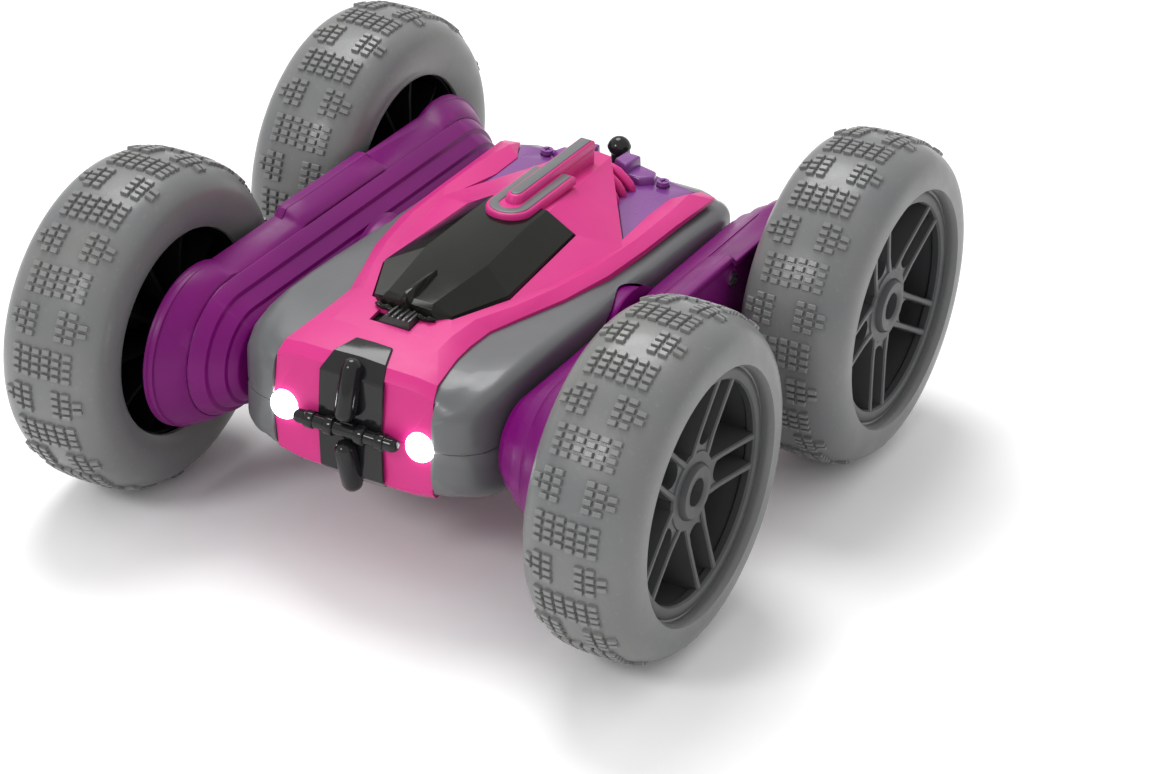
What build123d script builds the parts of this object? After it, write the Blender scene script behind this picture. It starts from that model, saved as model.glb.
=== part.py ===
"""Double-sided radio-controlled stunt car.

The frame is in millimetres.  The origin is on the ground under the middle of the
car, -Y is the front and +Z is up.  Left and right are those of someone who faces the
car's front, so +X is to the right.  The car is the same above and below its
mid-plane, which holds the four wheel axles and the arm pivots.
"""

import math
import os

from build123d import *

# ---------------------------------------------------------------- driving sizes
TYRE_RADIUS = 34.0
TYRE_WIDTH = 23.4
WHEELBASE = 84.0
TRACK = 115.0

MID_Z = TYRE_RADIUS
AXLE_Y = -WHEELBASE / 2
WHEEL_X = TRACK / 2

# wheel
BEAD_RADIUS = 23.6
RIM_LIP_RADIUS = 24.1
RIM_FACE = 9.8
DISH_RADIUS = 22.2
AXLE_RADIUS = 1.5

# gear train, from the motor out to each wheel
MODULE = 0.5
PRESSURE_ANGLE = math.radians(20)
ADDENDUM = 0.9 * MODULE
DEDENDUM = 1.3 * MODULE
BACKLASH = 0.14
PINION_TEETH = 10
COMPOUND_TEETH = 32
SMALL_TEETH = 12
IDLER_TEETH = 32
WHEEL_TEETH = 50
COMPOUND_Y = -MODULE * (PINION_TEETH + COMPOUND_TEETH) / 2
IDLER_Y = COMPOUND_Y - MODULE * (SMALL_TEETH + IDLER_TEETH) / 2
GEAR_WIDTH = 2.0
FIRST_LAYER_X = 37.2
SECOND_LAYER_X = 39.6
PIN_RADIUS = 0.8

# swing arms
ARM_INNER_X = 28.8
ARM_SPLIT_X = 36.8
ARM_LIP_X = 42.0
ARM_OUTER_X = 43.4
ARM_WALL = 1.5
ARM_INNER_R = 9.2
ARM_SPLIT_R = 14.6
ARM_LIP_R = 16.3
ARM_LIP_REACH = 2.3
ARM_RIM_R = 16.8
ARM_RIM_REACH = 2.8
BEAM_HALF = 14.2
BLOCK_HALF = 17.0
BLOCK_LENGTH = 29.0
BLOCK_FLARE = 4.0
GEAR_WELL_R = 13.4
GEAR_SLOT = 18.6
BUSH_RADIUS = 3.0
RUNNING = 0.05
SEAT = 0.02

# pivot and motor
BOSS_RADIUS = 11.4
BOSS_X = 24.3
PIVOT_RADIUS = 9.4
FLANGE_RADIUS = 10.4
FLANGE_X = 17.3
FLANGE_WIDTH = 1.5
MOTOR_RADIUS = 7.5
MOTOR_END_X = 35.2
SHAFT_RADIUS = 1.0

# body
BODY_TOP = 12.4
BODY_WALL = 1.5
BODY_SHOULDER = 8.8
SHOULDER_INSET = 2.0
COVER_TOP = 13.8
FRONT_Y = -55.5
APRON_Y = -54.0
REAR_Y = 45.2
BEARING_IN_X = 19.0
BEARING_OUT_X = 24.0
CELL_RADIUS = 7.0
CELL_LENGTH = 50.0

LEFT, RIGHT = -1, 1
FRONT, REAR = -1, 1
SIDE_NAMES = {LEFT: "left", RIGHT: "right"}
END_NAMES = {FRONT: "front", REAR: "rear"}
MID_PLANE = Plane.XY.offset(MID_Z)

os.makedirs("parts", exist_ok=True)


# ---------------------------------------------------------------- helpers
def cross_plane(x, y=0.0, z=MID_Z):
    """Plane square to the axles: its x runs to the rear and its y runs up."""
    return Plane(origin=(x, y, z), x_dir=(0, 1, 0), z_dir=(1, 0, 0))


def wheel_plane(y=AXLE_Y):
    """Plane through a right-hand wheel's axle: x runs outboard, y is the radius."""
    return Plane(origin=(WHEEL_X, y, MID_Z), x_dir=(1, 0, 0), z_dir=(0, -1, 0))


def cross_axis(y=0.0, z=MID_Z):
    return Axis((0, y, z), (1, 0, 0))


def height_plane(height):
    """Level plane at a height above the mid-plane."""
    return Plane.XY.offset(MID_Z + height)


def both_sides(points):
    """Closed outline from its right half, given from front to rear."""
    return points + [(-x, y) for x, y in reversed(points) if x > 0]


def save(piece, name):
    piece.label = name
    export_step(piece, f"parts/{name}.step")


def save_corner(source, side, end, name):
    """Write the front-right piece, or its twin at another corner."""
    with BuildPart() as corner:
        if (side, end) == (RIGHT, FRONT):
            add(source)
        elif (side, end) == (LEFT, FRONT):
            mirror(source, about=Plane.YZ)
        elif (side, end) == (RIGHT, REAR):
            mirror(source, about=Plane.XZ)
        else:
            add(source, rotation=(0, 0, 180))
    corner.part.label = name
    export_step(corner.part, f"parts/{name}.step")


def save_side(source, side, name):
    """Write the right-hand piece, or its mirror twin on the left."""
    with BuildPart() as handed:
        if side == RIGHT:
            add(source)
        else:
            mirror(source, about=Plane.YZ)
    handed.part.label = name
    export_step(handed.part, f"parts/{name}.step")


# ---------------------------------------------------------------- gears
def gear_outline(teeth, phase):
    """Points round an involute gear whose first tooth points at the phase angle."""
    pitch_radius = MODULE * teeth / 2
    base_radius = pitch_radius * math.cos(PRESSURE_ANGLE)
    tip_radius = pitch_radius + ADDENDUM
    root_radius = pitch_radius - DEDENDUM
    pitch_involute = math.tan(PRESSURE_ANGLE) - PRESSURE_ANGLE
    half_tooth = (math.pi * MODULE / 2 - BACKLASH) / (2 * pitch_radius)
    flank_start = max(base_radius, root_radius + 0.05)

    def half_angle(radius):
        roll = math.acos(min(1.0, base_radius / radius))
        return half_tooth + pitch_involute - (math.tan(roll) - roll)

    flank_radii = [flank_start + (tip_radius - flank_start) * step / 3 for step in range(4)]
    points = []
    for tooth in range(teeth):
        centre = phase + 2 * math.pi * tooth / teeth
        rise = [(root_radius, 0.92 * half_angle(flank_start))]
        rise += [(radius, half_angle(radius)) for radius in flank_radii]
        for radius, angle in rise:
            points.append((radius * math.cos(centre - angle), radius * math.sin(centre - angle)))
        for radius, angle in reversed(rise):
            points.append((radius * math.cos(centre + angle), radius * math.sin(centre + angle)))
    return points


def mesh_phase(phase, teeth, next_teeth, direction):
    """Phase that puts the next gear in mesh, in the given direction from this one."""
    fraction = (direction - phase) * teeth / (2 * math.pi)
    return direction + math.pi + 2 * math.pi / next_teeth * (fraction + 0.5)


FORWARD = math.pi
PINION_PHASE = 0.0
COMPOUND_PHASE = mesh_phase(PINION_PHASE, PINION_TEETH, COMPOUND_TEETH, FORWARD)
IDLER_PHASE = mesh_phase(COMPOUND_PHASE, SMALL_TEETH, IDLER_TEETH, FORWARD)
WHEEL_PHASE = mesh_phase(IDLER_PHASE, IDLER_TEETH, WHEEL_TEETH, FORWARD)


def toothed_disc(teeth, phase, y, x, width):
    """Add one gear's toothed disc to the part being built."""
    with BuildSketch(cross_plane(x, y)) as disc:
        with BuildLine():
            Polyline(*gear_outline(teeth, phase), close=True)
        make_face()
    extrude(disc.sketch, amount=width)


with BuildPart() as motor_pinion:
    toothed_disc(PINION_TEETH, PINION_PHASE, 0.0, FIRST_LAYER_X, GEAR_WIDTH)
    with BuildSketch(cross_plane(MOTOR_END_X - 6)):
        Circle(SHAFT_RADIUS)
    extrude(amount=FIRST_LAYER_X + GEAR_WIDTH + 0.4 - MOTOR_END_X + 6)

with BuildPart() as compound_gear:
    toothed_disc(COMPOUND_TEETH, COMPOUND_PHASE, COMPOUND_Y, FIRST_LAYER_X, GEAR_WIDTH)
    small_x = FIRST_LAYER_X + GEAR_WIDTH
    toothed_disc(SMALL_TEETH, COMPOUND_PHASE, COMPOUND_Y, small_x, SECOND_LAYER_X + GEAR_WIDTH - small_x)
    with BuildSketch(cross_plane(FIRST_LAYER_X, COMPOUND_Y)):
        Circle(PIN_RADIUS + RUNNING)
    extrude(amount=10, mode=Mode.SUBTRACT)

with BuildPart() as idler_gear:
    toothed_disc(IDLER_TEETH, IDLER_PHASE, IDLER_Y, SECOND_LAYER_X, GEAR_WIDTH)
    with BuildSketch(cross_plane(FIRST_LAYER_X, IDLER_Y)):
        Circle(2.0)
    extrude(amount=SECOND_LAYER_X - FIRST_LAYER_X)
    with BuildSketch(cross_plane(FIRST_LAYER_X, IDLER_Y)):
        Circle(PIN_RADIUS + RUNNING)
    extrude(amount=10, mode=Mode.SUBTRACT)

with BuildPart() as wheel_gear:
    toothed_disc(WHEEL_TEETH, WHEEL_PHASE, AXLE_Y, SECOND_LAYER_X, GEAR_WIDTH)
    with BuildSketch(cross_plane(FIRST_LAYER_X, AXLE_Y)):
        Circle(4.0)
    extrude(amount=SECOND_LAYER_X - FIRST_LAYER_X)
    with BuildSketch(cross_plane(FIRST_LAYER_X, AXLE_Y)):
        Circle(AXLE_RADIUS + SEAT)
    extrude(amount=10, mode=Mode.SUBTRACT)
    with BuildSketch(cross_plane(SECOND_LAYER_X, AXLE_Y)):
        with PolarLocations(8.2, 6):
            Circle(2.2)
    extrude(amount=GEAR_WIDTH, mode=Mode.SUBTRACT)


# ---------------------------------------------------------------- wheel
TREAD_SHOULDER = 7.0
half_width = TYRE_WIDTH / 2

with BuildPart() as tyre:
    with BuildSketch(wheel_plane()):
        with BuildLine():
            Polyline(
                (-9.4, BEAD_RADIUS + SEAT),
                (-9.4, 21.0),
                (-10.4, 21.0),
                (-half_width, 26.0),
                (-half_width, TYRE_RADIUS),
                (half_width, TYRE_RADIUS),
                (half_width, 26.4),
                (RIM_FACE, RIM_LIP_RADIUS + 0.2),
                (8.8, RIM_LIP_RADIUS + 0.2),
                (8.8, BEAD_RADIUS + SEAT),
                (7.6, BEAD_RADIUS + SEAT),
                (7.6, 30.6),
                (-7.6, 30.6),
                (-7.6, BEAD_RADIUS + SEAT),
                close=True,
            )
        make_face()
    revolve(axis=cross_axis(AXLE_Y))
    crown = tyre.edges().filter_by(GeomType.CIRCLE).group_by(SortBy.RADIUS)[-1]
    fillet(crown, TREAD_SHOULDER)

SPOKE_PAIRS = 5
SPOKE_GAP = 2.7
SPOKE_WIDTH = 1.5
SPOKE_START = 67.0
SPOKE_MIDDLE = 14.6
SPOKE_LENGTH = 16.4

with BuildPart() as rim:
    with BuildSketch(wheel_plane()):
        with BuildLine():
            Polyline(
                (-8.4, 22.4),
                (8.2, 22.4),
                (8.6, 21.6),
                (RIM_FACE - 0.4, 21.6),
                (RIM_FACE - 0.2, RIM_LIP_RADIUS),
                (8.9, RIM_LIP_RADIUS),
                (8.9, BEAD_RADIUS),
                (-8.4, BEAD_RADIUS),
                close=True,
            )
        make_face()
        with BuildLine():
            Polyline((5.0, 0), (5.0, 7.4), (7.8, 7.4), (8.0, 5.0), (8.6, 4.8), (8.6, 0), close=True)
        make_face()
    revolve(axis=cross_axis(AXLE_Y))
    with BuildSketch(cross_plane(WHEEL_X + 5.8, AXLE_Y)):
        with PolarLocations(0, SPOKE_PAIRS, start_angle=SPOKE_START):
            with Locations((SPOKE_MIDDLE, SPOKE_GAP), (SPOKE_MIDDLE, -SPOKE_GAP)):
                Rectangle(SPOKE_LENGTH, SPOKE_WIDTH)
    extrude(amount=2.4)
    with BuildSketch(cross_plane(WHEEL_X + 5.0, AXLE_Y)):
        Circle(2.7)
    extrude(amount=5, mode=Mode.SUBTRACT)

DISH_BACK = -8.8
DISH_FACE = 1.4
BARREL_RADIUS = 20.9
BOSS_BACK = -12.8
BOSS_FACE = 4.8
HUB_BOSS_RADIUS = 4.6

with BuildPart() as wheel_hub:
    with BuildSketch(wheel_plane()):
        with BuildLine():
            Polyline(
                (BOSS_BACK, 0),
                (BOSS_BACK, 3.4),
                (-1.0, HUB_BOSS_RADIUS),
                (-1.0, BARREL_RADIUS),
                (DISH_BACK, BARREL_RADIUS),
                (DISH_BACK, DISH_RADIUS),
                (DISH_FACE, DISH_RADIUS),
                (DISH_FACE, HUB_BOSS_RADIUS),
                (BOSS_FACE, HUB_BOSS_RADIUS),
                (BOSS_FACE, 0),
                close=True,
            )
        make_face()
    revolve(axis=cross_axis(AXLE_Y))
    with BuildSketch(cross_plane(WHEEL_X + BOSS_BACK, AXLE_Y)):
        Circle(AXLE_RADIUS + SEAT)
    extrude(amount=BOSS_FACE - BOSS_BACK, mode=Mode.SUBTRACT)

AXLE_START_X = 34.0

with BuildPart() as axle:
    with BuildSketch(cross_plane(AXLE_START_X, AXLE_Y)):
        Circle(AXLE_RADIUS)
    extrude(amount=WHEEL_X + 4.8 - AXLE_START_X)
    with BuildSketch(cross_plane(WHEEL_X + 4.85, AXLE_Y)):
        Circle(2.5)
    extrude(amount=1.6)
    with BuildSketch(cross_plane(WHEEL_X + 4.5, AXLE_Y)):
        Circle(AXLE_RADIUS)
    extrude(amount=0.5)
    with BuildSketch(cross_plane(WHEEL_X + 5.6, AXLE_Y)):
        Rectangle(3.2, 0.6)
        Rectangle(0.6, 3.2)
    extrude(amount=1, mode=Mode.SUBTRACT)

for side in (LEFT, RIGHT):
    for end in (FRONT, REAR):
        corner = f"{END_NAMES[end]}_{SIDE_NAMES[side]}"
        save_corner(tyre.part, side, end, f"{corner}_tyre")
        save_corner(rim.part, side, end, f"{corner}_rim")
        save_corner(wheel_hub.part, side, end, f"{corner}_wheel_hub")
        save_corner(axle.part, side, end, f"{corner}_axle")
        save_corner(wheel_gear.part, side, end, f"{corner}_wheel_gear")
        save_corner(compound_gear.part, side, end, f"{corner}_compound_gear")
        save_corner(idler_gear.part, side, end, f"{corner}_idler_gear")


# ---------------------------------------------------------------- swing arm
def slot_section(x, radius):
    """Rounded-end section of the arm at one distance from the car's centre."""
    with BuildSketch(cross_plane(x)) as section:
        SlotCenterToCenter(WHEELBASE, 2 * radius)
    return section.sketch


def arm_round(radius, x, length, places, mode=Mode.ADD):
    """Round bosses or holes along the arm's centre line."""
    with BuildSketch(cross_plane(x)) as rounds:
        with Locations(*[(place, 0) for place in places]):
            Circle(radius)
    extrude(rounds.sketch, amount=length, mode=mode)


PIN_TIP_X = SECOND_LAYER_X + GEAR_WIDTH + 1.0
PIN_PLACES = [IDLER_Y, COMPOUND_Y, -COMPOUND_Y, -IDLER_Y]
AXLE_PLACES = [AXLE_Y, -AXLE_Y]
ARM_SCREWS = [(-16.0, 11.2), (16.0, 11.2), (-16.0, -11.2), (16.0, -11.2)]
ARM_SCREW_TIP_X = 34.0
ARM_SCREW_R = 1.0
ARM_SCREW_HEAD_R = 1.5
ARM_SCREW_SEAT_X = ARM_OUTER_X - 1.0

with BuildPart() as arm_inner_shell:
    loft([slot_section(ARM_INNER_X, ARM_INNER_R), slot_section(ARM_SPLIT_X, ARM_SPLIT_R)], ruled=True)
    with BuildSketch(cross_plane(ARM_INNER_X + 2.2)):
        SlotCenterToCenter(WHEELBASE, 15.0)
    extrude(amount=ARM_SPLIT_X - ARM_INNER_X, mode=Mode.SUBTRACT)
    arm_round(10.0, ARM_INNER_X, ARM_SPLIT_X - ARM_INNER_X, [0.0])
    arm_round(2.0, ARM_INNER_X, 8.0, [IDLER_Y, -IDLER_Y])
    arm_round(5.0, ARM_INNER_X, 8.0, AXLE_PLACES)
    with BuildSketch(cross_plane(BOSS_X)):
        Circle(BOSS_RADIUS)
    extrude(amount=ARM_INNER_X - BOSS_X + 0.5)
    with BuildSketch(cross_plane(FLANGE_X)):
        Circle(PIVOT_RADIUS)
    extrude(amount=BOSS_X - FLANGE_X)
    with BuildSketch(cross_plane(FLANGE_X)):
        Circle(FLANGE_RADIUS)
    extrude(amount=FLANGE_WIDTH)
    with BuildSketch(cross_plane(FLANGE_X)):
        Circle(MOTOR_RADIUS + SEAT)
    extrude(amount=MOTOR_END_X - FLANGE_X, mode=Mode.SUBTRACT)
    arm_round(2.4, MOTOR_END_X - 0.1, 3.0, [0.0], Mode.SUBTRACT)
    arm_round(PIN_RADIUS, ARM_INNER_X + 2.0, PIN_TIP_X - ARM_INNER_X - 2.0, PIN_PLACES)
    arm_round(BUSH_RADIUS + SEAT, AXLE_START_X - 0.6, 4.0, AXLE_PLACES, Mode.SUBTRACT)
    with BuildSketch(cross_plane(ARM_SCREW_TIP_X)):
        with Locations(*ARM_SCREWS):
            Circle(ARM_SCREW_R - 0.2)
    extrude(amount=6, mode=Mode.SUBTRACT)

with BuildPart() as arm_outer_shell:
    for end in (FRONT, REAR):
        with BuildSketch(cross_plane(ARM_SPLIT_X, end * WHEELBASE / 2)):
            Circle(ARM_SPLIT_R)
        with BuildSketch(cross_plane(ARM_LIP_X, end * (WHEELBASE / 2 + ARM_LIP_REACH))):
            Circle(ARM_LIP_R)
        loft()
        with BuildSketch(cross_plane(ARM_LIP_X, end * (WHEELBASE / 2 + ARM_RIM_REACH))):
            Circle(ARM_RIM_R)
        extrude(amount=ARM_OUTER_X - ARM_LIP_X)
    with BuildSketch(cross_plane(ARM_SPLIT_X)):
        Rectangle(BLOCK_LENGTH + BLOCK_FLARE, 2 * ARM_SPLIT_R)
    with BuildSketch(cross_plane(ARM_LIP_X)):
        Rectangle(BLOCK_LENGTH, 2 * BLOCK_HALF)
    loft(ruled=True)
    with BuildSketch(cross_plane(ARM_LIP_X)):
        Rectangle(BLOCK_LENGTH, 2 * BLOCK_HALF)
    extrude(amount=ARM_OUTER_X - ARM_LIP_X)
    with BuildSketch(cross_plane(ARM_SPLIT_X)):
        Rectangle(WHEELBASE, 2 * BEAM_HALF)
    extrude(amount=ARM_OUTER_X - ARM_SPLIT_X)
    with BuildSketch(cross_plane(ARM_SPLIT_X)):
        Rectangle(WHEELBASE, GEAR_SLOT)
        with Locations((AXLE_Y, 0), (-AXLE_Y, 0)):
            Circle(GEAR_WELL_R)
    extrude(amount=ARM_OUTER_X - ARM_WALL - ARM_SPLIT_X, mode=Mode.SUBTRACT)
    arm_round(4.6, SECOND_LAYER_X + GEAR_WIDTH + 0.2, 2.6, AXLE_PLACES)
    arm_round(BUSH_RADIUS + SEAT, SECOND_LAYER_X, 6.0, AXLE_PLACES, Mode.SUBTRACT)
    arm_round(PIN_RADIUS + SEAT, SECOND_LAYER_X, 3.2, PIN_PLACES, Mode.SUBTRACT)
    with BuildSketch(cross_plane(ARM_SPLIT_X)):
        with Locations(*ARM_SCREWS):
            Circle(ARM_SCREW_R + 0.1)
    extrude(amount=10, mode=Mode.SUBTRACT)
    with BuildSketch(cross_plane(ARM_SCREW_SEAT_X)):
        with Locations(*ARM_SCREWS):
            Circle(ARM_SCREW_HEAD_R + 0.1)
    extrude(amount=4, mode=Mode.SUBTRACT)

with BuildPart() as axle_bushes:
    arm_round(BUSH_RADIUS, AXLE_START_X - 0.4, 3.0, AXLE_PLACES)
    arm_round(BUSH_RADIUS, SECOND_LAYER_X + GEAR_WIDTH + 0.3, 2.5, AXLE_PLACES)
    arm_round(AXLE_RADIUS + RUNNING, AXLE_START_X - 1.0, 20.0, AXLE_PLACES, Mode.SUBTRACT)

with BuildPart() as arm_screws:
    with BuildSketch(cross_plane(ARM_SCREW_TIP_X + 0.2)):
        with Locations(*ARM_SCREWS):
            Circle(ARM_SCREW_R - 0.25)
    extrude(amount=ARM_SCREW_SEAT_X - ARM_SCREW_TIP_X - 0.2)
    with BuildSketch(cross_plane(ARM_SCREW_SEAT_X)):
        with Locations(*ARM_SCREWS):
            Circle(ARM_SCREW_HEAD_R)
    extrude(amount=0.8)
    with BuildSketch(cross_plane(ARM_SCREW_SEAT_X + 0.4)):
        with Locations(*ARM_SCREWS):
            Rectangle(2.0, 0.4)
            Rectangle(0.4, 2.0)
    extrude(amount=1, mode=Mode.SUBTRACT)

with BuildPart() as motor:
    with BuildSketch(cross_plane(FLANGE_X)):
        Circle(MOTOR_RADIUS)
    extrude(amount=MOTOR_END_X - 0.1 - FLANGE_X)
    with BuildSketch(cross_plane(FLANGE_X - 1.6)):
        Circle(6.0)
    extrude(amount=1.6)
    with BuildSketch(cross_plane(FLANGE_X - 3.4)):
        with Locations((4.2, 0), (-4.2, 0)):
            Rectangle(0.5, 1.8)
    extrude(amount=1.8)
    with BuildSketch(cross_plane(MOTOR_END_X - 0.1)):
        Circle(2.3)
    extrude(amount=1.4)
    with BuildSketch(cross_plane(MOTOR_END_X - 7)):
        Circle(SHAFT_RADIUS + RUNNING)
    extrude(amount=10, mode=Mode.SUBTRACT)

for side in (LEFT, RIGHT):
    hand = SIDE_NAMES[side]
    save_side(arm_inner_shell.part, side, f"{hand}_arm_inner_shell")
    save_side(arm_outer_shell.part, side, f"{hand}_arm_outer_shell")
    save_side(axle_bushes.part, side, f"{hand}_axle_bushes")
    save_side(arm_screws.part, side, f"{hand}_arm_screws")
    save_side(motor.part, side, f"{hand}_motor")
    save_side(motor_pinion.part, side, f"{hand}_motor_pinion")


# ---------------------------------------------------------------- chassis shells
def body_outline(inset):
    """The body seen from above, drawn in on all sides by the inset."""
    front = [(0, APRON_Y), (17.6, APRON_Y), (18.2, FRONT_Y), (22.0, -54.6)]
    flank = [(25.6, -51.0), (28.0, -43.0), (28.0, 44.0), (26.6, 48.2)]
    rear = [(21.0, 49.0), (18.8, REAR_Y), (0, REAR_Y)]
    points = [(x, y + inset) for x, y in front]
    points += [(x - inset, y) for x, y in flank]
    points += [(x, y - inset) for x, y in rear]
    return both_sides(points)


FRONT_SCREWS = [(21.5, -44.0), (-21.5, -44.0)]
DECK_SCREWS = [(13.7, 41.3), (-13.7, 41.3)]
BOARD_POSTS = [(11.0, -29.0), (-11.0, -29.0), (11.0, 11.0), (-11.0, 11.0)]
LAMP_X = 15.0
LAMP_PLACES = [(LAMP_X, MID_Z), (-LAMP_X, MID_Z)]
LENS_RADIUS = 3.0
LENS_GAP = 0.1
BOARD_HEIGHT = 6.4
BOARD_THICKNESS = 1.2

with BuildPart() as upper_chassis_shell:
    for wall in (0, BODY_WALL):
        mode = Mode.SUBTRACT if wall else Mode.ADD
        with BuildSketch(height_plane(0)):
            Polygon(*body_outline(wall), align=None)
        extrude(amount=BODY_SHOULDER, mode=mode)
        with BuildSketch(height_plane(BODY_SHOULDER)):
            Polygon(*body_outline(wall), align=None)
        with BuildSketch(height_plane(BODY_TOP - wall)):
            Polygon(*body_outline(wall + SHOULDER_INSET), align=None)
        loft(ruled=True, mode=mode)
    with BuildSketch(height_plane(0)):
        with Locations(*FRONT_SCREWS, *DECK_SCREWS):
            Circle(2.6)
    extrude(amount=BODY_TOP - 0.5)
    for side in (LEFT, RIGHT):
        with BuildSketch(height_plane(0)):
            with Locations((side * (BEARING_IN_X + BEARING_OUT_X) / 2, 0)):
                Rectangle(BEARING_OUT_X - BEARING_IN_X, 30.0)
        extrude(amount=BODY_TOP - 0.5)
        with BuildSketch(cross_plane(side * BEARING_OUT_X)):
            Circle(13.0)
        extrude(amount=side * 8, mode=Mode.SUBTRACT)
        with BuildSketch(cross_plane(side * (BEARING_IN_X - 1))):
            Circle(PIVOT_RADIUS + RUNNING)
        extrude(amount=side * 8, mode=Mode.SUBTRACT)
    with BuildSketch(Plane.XZ.offset(-APRON_Y - 4)):
        with Locations(*LAMP_PLACES):
            Circle(LENS_RADIUS + LENS_GAP)
    extrude(amount=8, mode=Mode.SUBTRACT)
    with BuildSketch(height_plane(0)):
        with Locations(*FRONT_SCREWS):
            Circle(0.9)
    extrude(amount=BODY_TOP - 1.0, mode=Mode.SUBTRACT)
    with BuildSketch(height_plane(0)):
        with Locations(*DECK_SCREWS):
            Circle(0.9)
    extrude(amount=BODY_TOP + 1.0, mode=Mode.SUBTRACT)

BAY_HALF = 8.5
BAY_FRONT = -32.0
BAY_REAR = 7.0
SWITCH_X = 12.5
SWITCH_Y = 34.0
CRADLE_X = 9.2
CRADLE_WALL = 1.2

with BuildPart() as lower_chassis_shell:
    mirror(upper_chassis_shell.part, about=MID_PLANE)
    with BuildSketch(height_plane(-BODY_TOP - 1)):
        with Locations((0, (BAY_FRONT + BAY_REAR) / 2)):
            Rectangle(2 * BAY_HALF, BAY_REAR - BAY_FRONT)
        with Locations((SWITCH_X, SWITCH_Y)):
            Rectangle(8.0, 4.0)
        with Locations(*FRONT_SCREWS):
            Circle(1.2)
    extrude(amount=4, mode=Mode.SUBTRACT)
    with BuildSketch(height_plane(-BODY_TOP + 0.5)):
        with Locations((CRADLE_X, BAY_FRONT + CELL_LENGTH / 2), (-CRADLE_X, BAY_FRONT + CELL_LENGTH / 2)):
            Rectangle(CRADLE_WALL, CELL_LENGTH)
    extrude(amount=BODY_TOP - 1.5)
    with BuildSketch(height_plane(-BODY_TOP - 1)):
        with Locations(*FRONT_SCREWS):
            Circle(2.0)
    extrude(amount=2.2, mode=Mode.SUBTRACT)

with BuildPart() as board_posts:
    with BuildSketch(height_plane(BOARD_HEIGHT + BOARD_THICKNESS)):
        with Locations(*BOARD_POSTS):
            Circle(1.8)
    extrude(amount=BODY_TOP - 0.5 - BOARD_HEIGHT - BOARD_THICKNESS)

with BuildPart() as upper_shell_with_posts:
    add(upper_chassis_shell.part)
    add(board_posts.part)

save(upper_shell_with_posts.part, "upper_chassis_shell")
save(lower_chassis_shell.part, "lower_chassis_shell")


# ---------------------------------------------------------------- pink covers
COVER_OUTLINE = both_sides([
    (0, FRONT_Y), (17.4, FRONT_Y), (17.4, -51.4), (14.4, -43.0), (14.6, -32.0), (17.0, -24.0),
    (20.5, -13.0), (23.0, 0), (25.0, 14.0), (25.4, 42.0), (20.0, 44.0), (19.0, 14.0),
    (3.0, 40.0),
])
ROOF_BASE = both_sides([(15.0, -14.0), (20.0, 11.6), (3.0, 39.0)])
ROOF_TOP = both_sides([(5.4, -3.0), (6.0, 10.0), (2.6, 37.6)])
ROOF_HEIGHT = 19.4
CANOPY_BASE = both_sides([(8.7, -33.8), (14.0, -21.7), (12.2, 6.6)])
CANOPY_TOP = both_sides([(5.3, -33.0), (7.0, -18.0), (6.2, 4.0)])
CANOPY_BASE_HEIGHT = COVER_TOP + 0.3
CANOPY_HEIGHT = 20.2
GLASS_HOLE = both_sides([(8.2, -33.0), (13.2, -21.7), (11.6, 6.2)])


def prism_between(lower, lower_height, upper, upper_height, mode=Mode.ADD):
    """Faceted solid between two level outlines."""
    with BuildSketch(height_plane(lower_height)) as base:
        Polygon(*lower, align=None)
    with BuildSketch(height_plane(upper_height)) as top:
        Polygon(*upper, align=None)
    loft([base.sketch, top.sketch], ruled=True, mode=mode)


def shrunk(points, factor, shift=0.0):
    return [(x * factor, (y + shift) * factor - shift) for x, y in points]


with BuildPart() as upper_hood_cover:
    with BuildSketch(height_plane(BODY_TOP + SEAT)):
        Polygon(*COVER_OUTLINE, align=None)
    extrude(amount=COVER_TOP - BODY_TOP)
    with BuildSketch(height_plane(0.1)):
        with Locations((0, (FRONT_Y + APRON_Y) / 2)):
            Rectangle(34.8, APRON_Y - FRONT_Y - 2 * SEAT)
    extrude(amount=COVER_TOP - 0.2)
    prism_between(ROOF_BASE, BODY_TOP + 0.5, ROOF_TOP, ROOF_HEIGHT)
    with BuildSketch(height_plane(BODY_TOP - 1)):
        Polygon(*GLASS_HOLE, align=None)
    extrude(amount=12, mode=Mode.SUBTRACT)
    prism_between(CANOPY_BASE, CANOPY_BASE_HEIGHT - 0.1, shrunk(CANOPY_BASE, 1.05), 26.0, Mode.SUBTRACT)
    with BuildSketch(Plane.XZ.offset(-APRON_Y - 4)):
        with Locations(*LAMP_PLACES):
            Circle(LENS_RADIUS + LENS_GAP)
    extrude(amount=8, mode=Mode.SUBTRACT)

DOOR_HINGE_Y = -35.4
DOOR_HINGE_HEIGHT = COVER_TOP + 1.2
KNUCKLE_RADIUS = 1.1
KNUCKLE_HALF = 3.0
HINGE_PIN_RADIUS = 0.5

with BuildPart() as lower_hood_cover:
    mirror(upper_hood_cover.part, about=MID_PLANE)
    for side in (LEFT, RIGHT):
        with BuildSketch(cross_plane(side * (KNUCKLE_HALF + 0.2), DOOR_HINGE_Y, MID_Z - DOOR_HINGE_HEIGHT)):
            Circle(KNUCKLE_RADIUS)
            with Locations((0, KNUCKLE_RADIUS)):
                Rectangle(2 * KNUCKLE_RADIUS, 2 * KNUCKLE_RADIUS)
        extrude(amount=side * 1.2)
        with BuildSketch(cross_plane(side * (KNUCKLE_HALF + 0.3), DOOR_HINGE_Y, MID_Z - DOOR_HINGE_HEIGHT)):
            Circle(HINGE_PIN_RADIUS)
        extrude(amount=-side * 1.8)

save(upper_hood_cover.part, "upper_hood_cover")
save(lower_hood_cover.part, "lower_hood_cover")


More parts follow.
